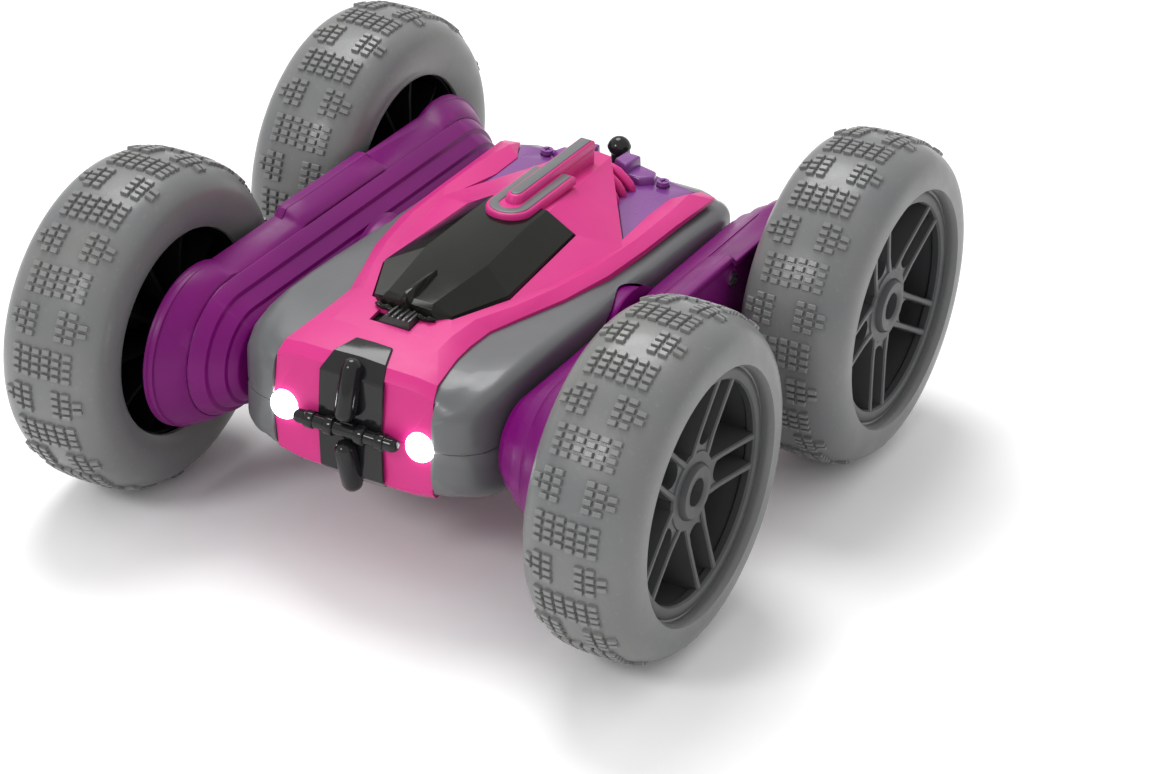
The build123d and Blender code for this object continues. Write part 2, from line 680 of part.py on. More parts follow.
# ---------------------------------------------------------------- canopies and scoops
with BuildPart() as upper_canopy:
    prism_between(CANOPY_BASE, CANOPY_BASE_HEIGHT, CANOPY_TOP, CANOPY_HEIGHT)
    inner_base = shrunk(CANOPY_BASE, 0.9, 12.0)
    inner_top = shrunk(CANOPY_TOP, 0.8, 12.0)
    prism_between(inner_base, CANOPY_BASE_HEIGHT, inner_top, CANOPY_HEIGHT - 1.4, Mode.SUBTRACT)

with BuildPart() as battery_door:
    mirror(upper_canopy.part, about=MID_PLANE)
    with BuildSketch(cross_plane(-KNUCKLE_HALF, DOOR_HINGE_Y, MID_Z - DOOR_HINGE_HEIGHT)):
        Circle(KNUCKLE_RADIUS)
        with Locations((1.6, 0)):
            Rectangle(3.2, 1.6)
    extrude(amount=2 * KNUCKLE_HALF)
    with BuildSketch(cross_plane(-KNUCKLE_HALF, DOOR_HINGE_Y, MID_Z - DOOR_HINGE_HEIGHT)):
        Circle(HINGE_PIN_RADIUS + RUNNING)
    extrude(amount=2 * KNUCKLE_HALF, mode=Mode.SUBTRACT)

with BuildPart() as upper_scoop:
    with BuildSketch(height_plane(CANOPY_HEIGHT + SEAT)):
        with Locations((0, 7.0)):
            SlotOverall(19.0, 10.0, rotation=90)
    extrude(amount=1.8)
    with BuildSketch(height_plane(CANOPY_HEIGHT + 1.0)):
        with Locations((0, 18.0)):
            Rectangle(3.4, 31.0)
    extrude(amount=2.6)

with BuildPart() as lower_scoop:
    mirror(upper_scoop.part, about=MID_PLANE)

save(upper_canopy.part, "upper_canopy")
save(battery_door.part, "battery_door")
save(upper_scoop.part, "upper_scoop")
save(lower_scoop.part, "lower_scoop")


# ---------------------------------------------------------------- rear decks
DECK_OUTLINE = both_sides([(3.2, 40.6), (18.6, 15.6), (19.6, 44.4), (0, 45.0)])

with BuildPart() as upper_rear_deck:
    with BuildSketch(height_plane(BODY_TOP + SEAT)):
        Polygon(*DECK_OUTLINE, align=None)
    extrude(amount=1.0)
    with BuildSketch(height_plane(BODY_TOP)):
        with Locations((7.4, 41.4), (-7.4, 41.4)):
            Rectangle(4.4, 4.0)
    extrude(amount=3.0)
    with BuildSketch(height_plane(BODY_TOP - 1)):
        with Locations(*DECK_SCREWS):
            Circle(1.1)
    extrude(amount=4, mode=Mode.SUBTRACT)

with BuildPart() as lower_rear_deck:
    mirror(upper_rear_deck.part, about=MID_PLANE)
    with BuildSketch(height_plane(-BODY_TOP - 3)):
        with Locations((SWITCH_X, SWITCH_Y)):
            Rectangle(8.0, 4.0)
    extrude(amount=4, mode=Mode.SUBTRACT)

save(upper_rear_deck.part, "upper_rear_deck")
save(lower_rear_deck.part, "lower_rear_deck")


# ---------------------------------------------------------------- hood vents
VENT_Y = -38.9

with BuildPart() as hood_vents:
    with BuildSketch(height_plane(COVER_TOP + SEAT)):
        with Locations((0, VENT_Y)):
            Rectangle(6.4, 3.8)
    extrude(amount=1.6)
    with BuildSketch(height_plane(COVER_TOP + 1.5)):
        with Locations((-2.4, VENT_Y), (0, VENT_Y), (2.4, VENT_Y)):
            Rectangle(1.2, 3.8)
    extrude(amount=0.8)
    mirror(hood_vents.part, about=MID_PLANE)

save(hood_vents.part, "hood_vents")


# ---------------------------------------------------------------- bumpers
SHIELD_OUTLINE = both_sides([(4.0, -13.2), (7.0, -10.4), (7.0, 10.4), (4.0, 13.2)])
TUBE_RADIUS = 2.2
BAR_RADIUS = 1.5
FRONT_TUBE_Y = FRONT_Y - 2.6
REAR_TUBE_Y = REAR_Y + 2.9


def level_round(y, height, radius, reach):
    """Round bar straight across the car."""
    with BuildSketch(cross_plane(-reach, y, MID_Z + height)) as section:
        Circle(radius)
    extrude(section.sketch, amount=2 * reach)


def pill(y, low, high, radius):
    """Upright tube with round ends."""
    with BuildSketch(height_plane(low + radius)) as section:
        with Locations((0, y)):
            Circle(radius)
    extrude(section.sketch, amount=high - low - 2 * radius)
    with Locations((0, y, MID_Z + low + radius), (0, y, MID_Z + high - radius)):
        Sphere(radius)


with BuildPart() as front_bumper:
    with BuildSketch(Plane.XZ.offset(-FRONT_Y + SEAT)):
        with Locations((0, MID_Z)):
            Polygon(*SHIELD_OUTLINE, align=None)
    extrude(amount=1.0)
    pill(FRONT_TUBE_Y, 1.2, 12.0, TUBE_RADIUS)
    pill(FRONT_TUBE_Y, -12.0, -1.2, TUBE_RADIUS)
    level_round(FRONT_TUBE_Y + 0.4, 0, BAR_RADIUS, 11.6)
    with BuildSketch(Plane.XZ.offset(-FRONT_Y + 0.8)):
        with Locations((0, MID_Z)):
            Rectangle(4.0, 4.0)
    extrude(amount=1.6)

with BuildPart() as rear_bumper:
    with BuildSketch(Plane.XZ.offset(-REAR_Y - SEAT)):
        with Locations((0, MID_Z)):
            Rectangle(13.0, 23.0)
    extrude(amount=-1.0)
    pill(REAR_TUBE_Y, -18.2, 18.2, TUBE_RADIUS)
    level_round(REAR_TUBE_Y, 0, BAR_RADIUS, 11.6)
    level_round(REAR_TUBE_Y - 0.6, 14.6, 1.2, 5.0)
    level_round(REAR_TUBE_Y - 0.6, -14.6, 1.2, 5.0)
    with BuildSketch(Plane.XZ.offset(-REAR_Y - 0.8)):
        with Locations((0, MID_Z)):
            Rectangle(4.0, 8.0)
    extrude(amount=-2.0)

save(front_bumper.part, "front_bumper")
save(rear_bumper.part, "rear_bumper")


# ---------------------------------------------------------------- headlights
with BuildPart() as headlights:
    with BuildSketch(Plane.XZ.offset(-FRONT_Y - 3.2)):
        with Locations(*LAMP_PLACES):
            Circle(LENS_RADIUS)
    extrude(amount=3.6)
    with BuildSketch(Plane.XZ.offset(-FRONT_Y - 4.4)):
        with Locations(*LAMP_PLACES):
            Circle(2.2)
    extrude(amount=2.0)
    fillet(headlights.edges().filter_by(GeomType.CIRCLE).group_by(Axis.Y)[0], 1.2)

save(headlights.part, "headlights")


# ---------------------------------------------------------------- inside the body
with BuildPart() as circuit_board:
    with BuildSketch(height_plane(BOARD_HEIGHT)):
        with Locations((0, -9.0)):
            Rectangle(26.0, 46.0)
        with Locations(*BOARD_POSTS):
            Circle(0.9, mode=Mode.SUBTRACT)
    extrude(amount=BOARD_THICKNESS - SEAT)
    with BuildSketch(height_plane(BOARD_HEIGHT + BOARD_THICKNESS - 0.1)):
        with Locations((0, -16.0)):
            Rectangle(7.0, 7.0)
        with Locations((-5.0, 2.0), (5.0, 2.0)):
            Rectangle(4.0, 5.0)
        with Locations((6.0, -24.0)):
            Circle(2.0)
    extrude(amount=1.4)
    with BuildSketch(height_plane(BOARD_HEIGHT + BOARD_THICKNESS - 0.1)):
        with Locations((-7.0, -24.0)):
            Rectangle(5.0, 6.0)
    extrude(amount=2.8)

CELL_HEIGHT = -2.2

with BuildPart() as battery_cell:
    with BuildSketch(Plane.XZ.offset(-BAY_FRONT - 0.6)):
        with Locations((0, MID_Z + CELL_HEIGHT)):
            Circle(CELL_RADIUS)
    extrude(amount=-CELL_LENGTH)
    with BuildSketch(Plane.XZ.offset(-BAY_FRONT - 0.6 - CELL_LENGTH)):
        with Locations((0, MID_Z + CELL_HEIGHT)):
            Circle(2.6)
    extrude(amount=-1.0)

with BuildPart() as power_switch_body:
    with BuildSketch(height_plane(-BODY_TOP + BODY_WALL + SEAT)):
        with Locations((SWITCH_X - 0.5, SWITCH_Y)):
            Rectangle(13.0, 6.0)
    extrude(amount=4.0)
    with BuildSketch(height_plane(-BODY_TOP + BODY_WALL - 1)):
        with Locations((SWITCH_X, SWITCH_Y)):
            Rectangle(8.0, 3.0)
    extrude(amount=3.4, mode=Mode.SUBTRACT)

SWITCH_TRAVEL = 3.0

with BuildPart() as power_switch_knob:
    with BuildSketch(height_plane(-BODY_TOP - 1.0)):
        with Locations((SWITCH_X - SWITCH_TRAVEL / 2, SWITCH_Y)):
            Rectangle(3.6, 2.6)
    extrude(amount=4.6)
    with BuildSketch(height_plane(-BODY_TOP - 1.2)):
        with Locations(*[(SWITCH_X - SWITCH_TRAVEL / 2 + shift, SWITCH_Y) for shift in (-1.2, 0, 1.2)]):
            Rectangle(0.5, 2.6)
    extrude(amount=0.6)

save(circuit_board.part, "circuit_board")
save(battery_cell.part, "battery_cell")
save(power_switch_body.part, "power_switch_body")
save(power_switch_knob.part, "power_switch_knob")


# ---------------------------------------------------------------- body screws
SCREW_HEAD_RADIUS = 1.3
SCREW_HEAD_HEIGHT = 0.9
THREAD_RADIUS = 0.8
CROSS_LENGTH = 1.7
CROSS_WIDTH = 0.4
FRONT_SCREW_LENGTH = 20.0
DECK_SCREW_LENGTH = 8.0


def screws(places, head_height, length, up):
    """Cross-head screws with their heads at one height and their threads pointing inward."""
    with BuildSketch(height_plane(head_height)) as shanks:
        with Locations(*places):
            Circle(THREAD_RADIUS)
    extrude(shanks.sketch, amount=up * length)
    with BuildSketch(height_plane(head_height)) as heads:
        with Locations(*places):
            Circle(SCREW_HEAD_RADIUS)
    extrude(heads.sketch, amount=-up * SCREW_HEAD_HEIGHT)
    with BuildSketch(height_plane(head_height - up * SCREW_HEAD_HEIGHT / 2)) as slots:
        with Locations(*places):
            Rectangle(CROSS_LENGTH, CROSS_WIDTH)
            Rectangle(CROSS_WIDTH, CROSS_LENGTH)
    extrude(slots.sketch, amount=-up * SCREW_HEAD_HEIGHT, mode=Mode.SUBTRACT)


with BuildPart() as body_screws:
    screws(FRONT_SCREWS, -BODY_TOP + 1.18, FRONT_SCREW_LENGTH, 1)
    screws(DECK_SCREWS, BODY_TOP + 1.05, DECK_SCREW_LENGTH, -1)
    screws(DECK_SCREWS, -BODY_TOP - 1.05, DECK_SCREW_LENGTH, 1)

save(body_screws.part, "body_screws")
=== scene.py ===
import math

import bmesh
import bpy
from mathutils import Matrix, Vector


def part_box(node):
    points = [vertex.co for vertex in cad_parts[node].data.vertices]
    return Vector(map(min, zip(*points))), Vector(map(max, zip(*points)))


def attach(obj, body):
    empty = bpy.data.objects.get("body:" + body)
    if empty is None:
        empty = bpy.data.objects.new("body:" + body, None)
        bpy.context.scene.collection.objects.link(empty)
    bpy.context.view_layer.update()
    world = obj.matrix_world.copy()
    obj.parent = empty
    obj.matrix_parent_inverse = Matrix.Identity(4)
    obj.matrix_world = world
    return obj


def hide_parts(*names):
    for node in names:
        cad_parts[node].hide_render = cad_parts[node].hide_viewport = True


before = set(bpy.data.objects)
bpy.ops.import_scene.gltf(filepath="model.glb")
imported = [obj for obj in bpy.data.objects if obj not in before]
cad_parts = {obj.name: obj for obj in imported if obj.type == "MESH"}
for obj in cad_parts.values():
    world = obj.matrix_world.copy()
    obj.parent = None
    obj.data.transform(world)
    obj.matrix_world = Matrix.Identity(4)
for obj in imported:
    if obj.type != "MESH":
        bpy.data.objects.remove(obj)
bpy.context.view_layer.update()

# Radio-controlled stunt car.  Shapes are written in millimetres, with heights counted
# from the car's mid-plane, for its right-hand front quarter or its upper half, and are
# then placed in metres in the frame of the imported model.

MM = 0.001
scene = bpy.context.scene


# ---- sizes from the frame
def size_of(node):
    """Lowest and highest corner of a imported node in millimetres."""
    low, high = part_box(node)
    return Vector(low) / MM, Vector(high) / MM


tyre_low, tyre_high = size_of("front_right_tyre")
MID_Z = (tyre_low.z + tyre_high.z) / 2
WHEEL_X = (tyre_low.x + tyre_high.x) / 2
AXLE_Y = (tyre_low.y + tyre_high.y) / 2
TYRE_RADIUS = (tyre_high.z - tyre_low.z) / 2
TYRE_HALF = (tyre_high.x - tyre_low.x) / 2

LEFT, RIGHT = -1, 1
FRONT, REAR = 1, -1
UPPER, LOWER = 1, -1
SIDES = {"left": LEFT, "right": RIGHT}
ENDS = {"front": FRONT, "rear": REAR}
HALVES = {"upper": UPPER, "lower": LOWER}


# ---- mesh helpers
class Form:
    """A mesh being drawn from points (x, y, height) in millimetres."""

    def __init__(self):
        self.mesh = bmesh.new()
        self.known = {}

    def vert(self, point):
        key = tuple(round(value, 3) for value in point)
        if key not in self.known:
            self.known[key] = self.mesh.verts.new(point)
        return self.known[key]

    def face(self, *points):
        corners = []
        for point in points:
            corner = self.vert(point)
            if corner not in corners:
                corners.append(corner)
        if len(corners) > 2 and not self.mesh.faces.get(corners):
            self.mesh.faces.new(corners)

    def loft(self, rings, closed=True, caps=(True, True)):
        """Skin over rings that have the same number of points."""
        count = len(rings[0])
        for near, far in zip(rings, rings[1:]):
            for index in range(count if closed else count - 1):
                after = (index + 1) % count
                self.face(near[index], near[after], far[after], far[index])
        if caps[0]:
            self.face(*rings[0])
        if caps[1]:
            self.face(*rings[-1])

    def solid(self, rings):
        """A closed solid of its own, which shares no points with what is drawn already."""
        self.known = {}
        self.loft(rings)
        self.known = {}

    def ring_solid(self, rings):
        """A closed loop of sections, such as a tyre or a collar."""
        self.known = {}
        self.loft(rings + rings[:1], caps=(False, False))
        self.known = {}

    def outward(self):
        """Turn the faces of each closed part away from its inside."""
        bmesh.ops.recalc_face_normals(self.mesh, faces=self.mesh.faces)

    def orient(self, inside=(0, 0, 0)):
        """Turn all faces, those of an open skin too, away from a point inside the piece."""
        self.outward()
        centre = Vector(inside)
        outward = 0.0
        for face in self.mesh.faces:
            outward += face.calc_area() * face.normal.dot(face.calc_center_median() - centre)
        if outward < 0:
            bmesh.ops.reverse_faces(self.mesh, faces=self.mesh.faces)

    def both_sides(self):
        """Add the mirror image across the car's centre line."""
        source = self.mesh.verts[:] + self.mesh.edges[:] + self.mesh.faces[:]
        copied = bmesh.ops.duplicate(self.mesh, geom=source)["geom"]
        verts = [item for item in copied if isinstance(item, bmesh.types.BMVert)]
        faces = [item for item in copied if isinstance(item, bmesh.types.BMFace)]
        bmesh.ops.scale(self.mesh, vec=(-1, 1, 1), verts=verts)
        bmesh.ops.reverse_faces(self.mesh, faces=faces)
        seam = [vert for vert in self.mesh.verts if abs(vert.co.x) < 0.001]
        bmesh.ops.remove_doubles(self.mesh, verts=seam, dist=0.002)
        self.known = {}


def placed(form, flips=(1, 1, 1)):
    """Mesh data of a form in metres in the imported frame, mirrored as the flips say."""
    mesh = form.mesh.copy()
    across, along, up = flips
    stretch = Matrix.Diagonal((across * MM, along * MM, up * MM, 1))
    move = Matrix.Translation((0, 0, MID_Z * MM))
    bmesh.ops.transform(mesh, matrix=move @ stretch, verts=mesh.verts)
    if across * along * up < 0:
        bmesh.ops.reverse_faces(mesh, faces=mesh.faces)
    return mesh


def to_object(mesh, name):
    data = bpy.data.meshes.new(name)
    mesh.to_mesh(data)
    mesh.free()
    obj = bpy.data.objects.new(name, data)
    scene.collection.objects.link(obj)
    return obj


def bake_modifiers(obj):
    """Turn an object's modifiers into plain mesh."""
    bpy.context.view_layer.update()
    depsgraph = bpy.context.evaluated_depsgraph_get()
    baked = bpy.data.meshes.new_from_object(obj.evaluated_get(depsgraph))
    obj.modifiers.clear()
    obj.data = baked


def thicken(obj, wall):
    solid = obj.modifiers.new("wall", "SOLIDIFY")
    solid.thickness = wall * MM
    solid.offset = -1
    solid.use_even_offset = True
    bake_modifiers(obj)


def span(obj):
    """Smallest and largest coordinate of a mesh along each axis."""
    places = [vertex.co for vertex in obj.data.vertices]
    return [limit(place[axis] for place in places) for axis in range(3) for limit in (min, max)]


LOST_WALL = 0.5


def cut(obj, cutters, flips=(1, 1, 1)):
    """Cut the cutters' closed forms out of an object.

    The thorough solver takes over when the quick one loses a wall, which shows in the extents.
    """
    for index, cutter in enumerate(cutters):
        tool = to_object(placed(cutter, flips), f"cutter_{index}")
        whole = obj.data
        limits = span(obj)
        for thorough in (False, True):
            obj.data = whole
            difference = obj.modifiers.new("cut", "BOOLEAN")
            difference.operation = "DIFFERENCE"
            difference.solver = "EXACT"
            difference.use_self = thorough
            difference.object = tool
            bake_modifiers(obj)
            if all(abs(new - old) < LOST_WALL * MM for new, old in zip(span(obj), limits)):
                break
        bpy.data.objects.remove(tool)


def soften(obj, width, segments=2, angle=35):
    """Round the piece's edges and shade it smooth between the sharp ones."""
    if width:
        bevel = obj.modifiers.new("edges", "BEVEL")
        bevel.width = width * MM
        bevel.segments = segments
        bevel.limit_method = "ANGLE"
        bevel.angle_limit = math.radians(angle)
        bevel.use_clamp_overlap = True
        bevel.miter_outer = "MITER_ARC"
        bake_modifiers(obj)
    obj.data.shade_smooth()
    obj.data.set_sharp_from_angle(angle=math.radians(angle))


def dress(obj, body, nodes, paints):
    """Give a finished piece its materials, its body and the nodes that it stands for."""
    for paint in paints:
        obj.data.materials.append(paint)
    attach(obj, body)
    if nodes:
        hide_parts(*nodes)
    return obj


def piece(form, name, body, nodes, paint, flips=(1, 1, 1), edge=0.0, angle=35):
    obj = to_object(placed(form, flips), name)
    soften(obj, edge, angle=angle)
    return dress(obj, body, nodes, [paint])


def circle(radius, steps, start=0.0, turn=2 * math.pi):
    """Points (across, up) round a circle or along an arc of it."""
    whole = abs(turn - 2 * math.pi) < 1e-6
    divisions = steps if whole else steps - 1
    angles = [start + turn * step / divisions for step in range(steps)]
    return [(radius * math.cos(angle), radius * math.sin(angle)) for angle in angles]


def across_ring(x, radius, y=0.0, steps=48):
    """Circle square to the axles."""
    return [(x, y + along, up) for along, up in circle(radius, steps)]


def turned(form, profile, y=0.0, steps=48, height=0.0):
    """Closed profile of (x, radius) turned about a line parallel to the axles."""
    rings = []
    for step in range(steps):
        angle = 2 * math.pi * step / steps
        rings.append([(x, y + radius * math.cos(angle), height + radius * math.sin(angle))
                      for x, radius in profile])
    form.ring_solid(rings)


def block(form, x_range, y_range, h_range, taper=0.0):
    """Block whose top is drawn in by the taper."""
    rings = []
    for height, inset in zip(h_range, (0.0, taper)):
        x0, x1 = x_range[0] + inset, x_range[1] - inset
        y0, y1 = y_range[0] + inset, y_range[1] - inset
        rings.append([(x0, y0, height), (x1, y0, height), (x1, y1, height), (x0, y1, height)])
    form.solid(rings)


def tube(form, path, radii, steps=20):
    """Round tube along a path of points, with its own radius at each."""
    rings = []
    points = [Vector(point) for point in path]
    for index, point in enumerate(points):
        ahead = points[min(index + 1, len(points) - 1)] - points[max(index - 1, 0)]
        ahead.normalize()
        guide = Vector((0, 0, 1)) if abs(ahead.z) < 0.9 else Vector((1, 0, 0))
        side = ahead.cross(guide).normalized()
        up = side.cross(ahead).normalized()
        radius = radii[index]
        ring = [point + side * across + up * rise for across, rise in circle(radius, steps)]
        rings.append([tuple(vector) for vector in ring])
    form.solid(rings)


def pill(form, start, end, radius, steps=24, dome_steps=6):
    """Straight tube with round ends."""
    start, end = Vector(start), Vector(end)
    ahead = (end - start).normalized()
    tip = math.radians(4)
    dome = [tip + (math.pi / 2 - tip) * step / (dome_steps - 1) for step in range(dome_steps)]
    near = [start + ahead * (radius - radius * math.cos(angle)) for angle in dome]
    far = [end - ahead * (radius - radius * math.cos(angle)) for angle in reversed(dome)]
    radii = [radius * math.sin(angle) for angle in dome]
    tube(form, near + far, radii + radii[::-1], steps)


def round_cutter(x_range, radius, y=0.0, steps=72):
    """Round cutter that points across the car."""
    form = Form()
    form.solid([across_ring(x, radius, y, steps) for x in x_range])
    form.orient((sum(x_range) / 2, y, 0))
    return form


def along_cutter(x, radius, y_range):
    """Round cutter that points forward."""
    form = Form()
    form.solid([[(x + across, y, up) for across, up in circle(radius, 40)] for y in y_range])
    form.orient((x, sum(y_range) / 2, 0))
    return form


def box_cutter(x_range, y_range, h_range):
    form = Form()
    block(form, x_range, y_range, h_range)
    form.orient([sum(pair) / 2 for pair in (x_range, y_range, h_range)])
    return form


# ---- materials
def nodes_of(name):
    material = bpy.data.materials.new(name)
    material.use_nodes = True
    nodes = material.node_tree.nodes
    return material, nodes, material.node_tree.links, nodes["Principled BSDF"]


def noise(nodes, links, place, scale, detail=3.0, roughness=0.5, stretch=(1, 1, 1)):
    """Noise texture in the piece's own metres, its features 1/scale long."""
    mapping = nodes.new("ShaderNodeMapping")
    mapping.inputs["Scale"].default_value = stretch
    links.new(place, mapping.inputs["Vector"])
    texture = nodes.new("ShaderNodeTexNoise")
    texture.inputs["Scale"].default_value = scale
    texture.inputs["Detail"].default_value = detail
    texture.inputs["Roughness"].default_value = roughness
    links.new(mapping.outputs["Vector"], texture.inputs["Vector"])
    return texture.outputs["Fac"]


def spread(nodes, links, value, low, high, start=0.3, end=0.7):
    """Map part of a value's range, the middle of a noise unless told otherwise, to a new range."""
    ranged = nodes.new("ShaderNodeMapRange")
    ranged.inputs["From Min"].default_value = start
    ranged.inputs["From Max"].default_value = end
    ranged.inputs["To Min"].default_value = low
    ranged.inputs["To Max"].default_value = high
    links.new(value, ranged.inputs["Value"])
    return ranged.outputs["Result"]


def blended(nodes, links, factor, first, second):
    """Colour between two colours or sockets."""
    mix = nodes.new("ShaderNodeMix")
    mix.data_type = "RGBA"
    for socket, value in ((mix.inputs["Factor"], factor), (mix.inputs[6], first), (mix.inputs[7], second)):
        if isinstance(value, bpy.types.NodeSocket):
            links.new(value, socket)
        elif isinstance(value, tuple):
            socket.default_value = (*value, 1)
        else:
            socket.default_value = value
    return mix.outputs[2]


def plastic(name, colour, shade, roughness, coat=0.0, grain=2600, grain_depth=0.02, wear=0.25,
            metallic=0.0, specks=0.0, scatter=0.0, stretch=(1, 1, 1), ior=1.45):
    """Moulded plastic, rubber or metal.

    The colour drifts softly towards its shade, edges are polished or dusted lighter, the
    roughness is uneven as handling leaves it, and a fine grain lies over the surface.
    """
    material, nodes, links, shader = nodes_of(name)
    place = nodes.new("ShaderNodeTexCoord").outputs["Object"]
    drift = spread(nodes, links, noise(nodes, links, place, 55, 4), 0.0, 1.0)
    tone = blended(nodes, links, drift, colour, shade)
    if specks:
        dust = noise(nodes, links, place, 900, 2, 0.6)
        dusted = spread(nodes, links, dust, -0.4, specks)
        tone = blended(nodes, links, dusted, tone, tuple(min(1.0, 1.5 * part + 0.05) for part in colour))
    edges = nodes.new("ShaderNodeNewGeometry").outputs["Pointiness"]
    rubbed = spread(nodes, links, edges, 0.0, wear, 0.51, 0.62)
    lighter = tuple(min(1.0, 1.35 * part + 0.03) for part in colour)
    tone = blended(nodes, links, rubbed, tone, lighter)
    links.new(tone, shader.inputs["Base Color"])
    uneven = noise(nodes, links, place, 140, 5, 0.6, stretch)
    links.new(spread(nodes, links, uneven, 0.82 * roughness, 1.2 * roughness), shader.inputs["Roughness"])
    shader.inputs["Metallic"].default_value = metallic
    shader.inputs["Coat Weight"].default_value = coat
    shader.inputs["Coat Roughness"].default_value = 0.08
    shader.inputs["IOR"].default_value = ior
    if scatter:
        shader.inputs["Subsurface Weight"].default_value = scatter
        shader.inputs["Subsurface Radius"].default_value = (1.0, 0.3, 1.0)
        shader.inputs["Subsurface Scale"].default_value = 0.002
    bump = nodes.new("ShaderNodeBump")
    bump.inputs["Strength"].default_value = 0.35
    bump.inputs["Distance"].default_value = grain_depth * MM
    links.new(noise(nodes, links, place, grain, 2, 0.5, stretch), bump.inputs["Height"])
    links.new(bump.outputs["Normal"], shader.inputs["Normal"])
    return material


def lamp_glass(name):
    """Lit lens over the diode, of ribbed plastic that glows evenly in two near-white tints."""
    material, nodes, links, shader = nodes_of(name)
    place = nodes.new("ShaderNodeTexCoord").outputs["Object"]
    ribs = nodes.new("ShaderNodeTexWave")
    ribs.inputs["Scale"].default_value = 420
    ribs.inputs["Distortion"].default_value = 0.4
    links.new(place, ribs.inputs["Vector"])
    glow = blended(nodes, links, ribs.outputs["Fac"], (1.0, 0.98, 0.93), (0.86, 0.93, 1.0))
    links.new(glow, shader.inputs["Emission Color"])
    links.new(glow, shader.inputs["Base Color"])
    shader.inputs["Emission Strength"].default_value = 9.0
    shader.inputs["Roughness"].default_value = 0.08
    bump = nodes.new("ShaderNodeBump")
    bump.inputs["Distance"].default_value = 0.05 * MM
    links.new(ribs.outputs["Fac"], bump.inputs["Height"])
    links.new(bump.outputs["Normal"], shader.inputs["Normal"])
    return material


RUBBER = plastic("tyre_rubber", (0.152, 0.155, 0.148), (0.131, 0.135, 0.138), 0.36, coat=0.08,
                 grain=1500, grain_depth=0.05, wear=0.35, specks=0.12)
RIM_GREY = plastic("rim_grey", (0.063, 0.065, 0.065), (0.052, 0.054, 0.056), 0.36, grain=1800,
                   grain_depth=0.03, ior=1.35)
# Wheel dish: black plastic, painted darker still as painted shade inside the wheel; the low IOR dims its
# reflections.
DISH_BLACK_AND_SHADE = plastic("dish_black_and_shade", (0.004, 0.004, 0.004), (0.0025, 0.0025, 0.0025), 0.6, grain=1800,
                     grain_depth=0.03, wear=0.05, ior=1.2)
ARM_PURPLE = plastic("arm_purple", (0.155, 0.0, 0.125), (0.128, 0.0, 0.108), 0.36, scatter=0.05,
                     wear=0.25, ior=1.3)
BODY_GREY = plastic("pod_grey", (0.104, 0.107, 0.11), (0.091, 0.094, 0.099), 0.36, coat=0.15, grain=1700,
                    grain_depth=0.03)
BODY_PINK = plastic("hood_pink", (0.56, 0.027, 0.198), (0.52, 0.02, 0.178), 0.36, scatter=0.06,
                     wear=0.2, ior=1.32)
DECK_PURPLE = plastic("deck_purple", (0.175, 0.036, 0.225), (0.15, 0.028, 0.195), 0.3, coat=0.3, wear=0.25)
CANOPY_SMOKE = plastic("canopy_smoke", (0.008, 0.0085, 0.006), (0.005, 0.0055, 0.004), 0.14,
                       grain=900, grain_depth=0.008, wear=0.2, ior=1.3)
GLOSS_BLACK = plastic("bumper_black", (0.012, 0.012, 0.013), (0.008, 0.008, 0.009), 0.1,
                      grain=1200, grain_depth=0.01, wear=0.12, ior=1.38)
VENT_BLACK = plastic("vent_black", (0.02, 0.02, 0.02), (0.012, 0.012, 0.013), 0.3, coat=0.3)
STEEL = plastic("screw_steel", (0.5, 0.5, 0.52), (0.38, 0.38, 0.4), 0.28, metallic=1.0, grain=5200,
                stretch=(1, 1, 8))
MOTOR_CAN = plastic("motor_can", (0.62, 0.62, 0.64), (0.5, 0.5, 0.52), 0.3, metallic=1.0, grain=4200,
                    stretch=(1, 9, 9))
GEAR_WHITE = plastic("gear_nylon", (0.78, 0.77, 0.72), (0.7, 0.68, 0.62), 0.4, scatter=0.2)
BUSH_BLACK = plastic("bush_black", (0.03, 0.03, 0.032), (0.02, 0.02, 0.022), 0.35, grain=3000)
BOARD_GREEN = plastic("board_green", (0.012, 0.12, 0.04), (0.01, 0.085, 0.03), 0.3, coat=0.4, specks=0.35)
CELL_GREEN = plastic("cell_wrap", (0.05, 0.34, 0.09), (0.035, 0.26, 0.07), 0.28, coat=0.3)
SWITCH_BLACK = plastic("switch_black", (0.018, 0.018, 0.019), (0.012, 0.012, 0.013), 0.38, grain=2400,
                       grain_depth=0.05)
LAMP = lamp_glass("lamp_lens")


# ---- wheel
BELT_RADIUS = 25.0
BLOCK_HEIGHT = 0.68
CROWN = TYRE_RADIUS - BLOCK_HEIGHT - BELT_RADIUS
SQUARENESS = 3.0
TREAD_GROUPS = 26
ROW_PITCHES = 5
ROWS = 4
TYRE_STEPS = 130


def tyre_profile():
    """Closed loop of (offset from the wheel's middle, radius)."""
    steps = 34
    points = []
    for step in range(steps + 1):
        angle = math.pi * step / steps
        lean = math.cos(angle)
        across = math.copysign(abs(lean) ** (2 / SQUARENESS), lean)
        up = max(0.0, math.sin(angle)) ** (2 / SQUARENESS)
        points.append((TYRE_HALF * across, BELT_RADIUS + CROWN * up))
    inboard = [(-TYRE_HALF + 0.3, 23.6), (-11.0, 22.2), (-10.4, 21.2), (-9.9, 21.0), (-9.4, 21.2),
               (-9.4, 23.7)]
    cavity = [(-7.6, 23.7), (-7.6, 30.4), (7.6, 30.4), (7.6, 23.7)]
    outboard = [(8.85, 23.75), (9.2, 24.45), (10.0, 24.4), (10.8, 24.45)]
    return points + inboard + cavity + outboard


def carcass_radius(offset):
    return BELT_RADIUS + CROWN * (1 - (abs(offset) / TYRE_HALF) ** SQUARENESS) ** (1 / SQUARENESS)


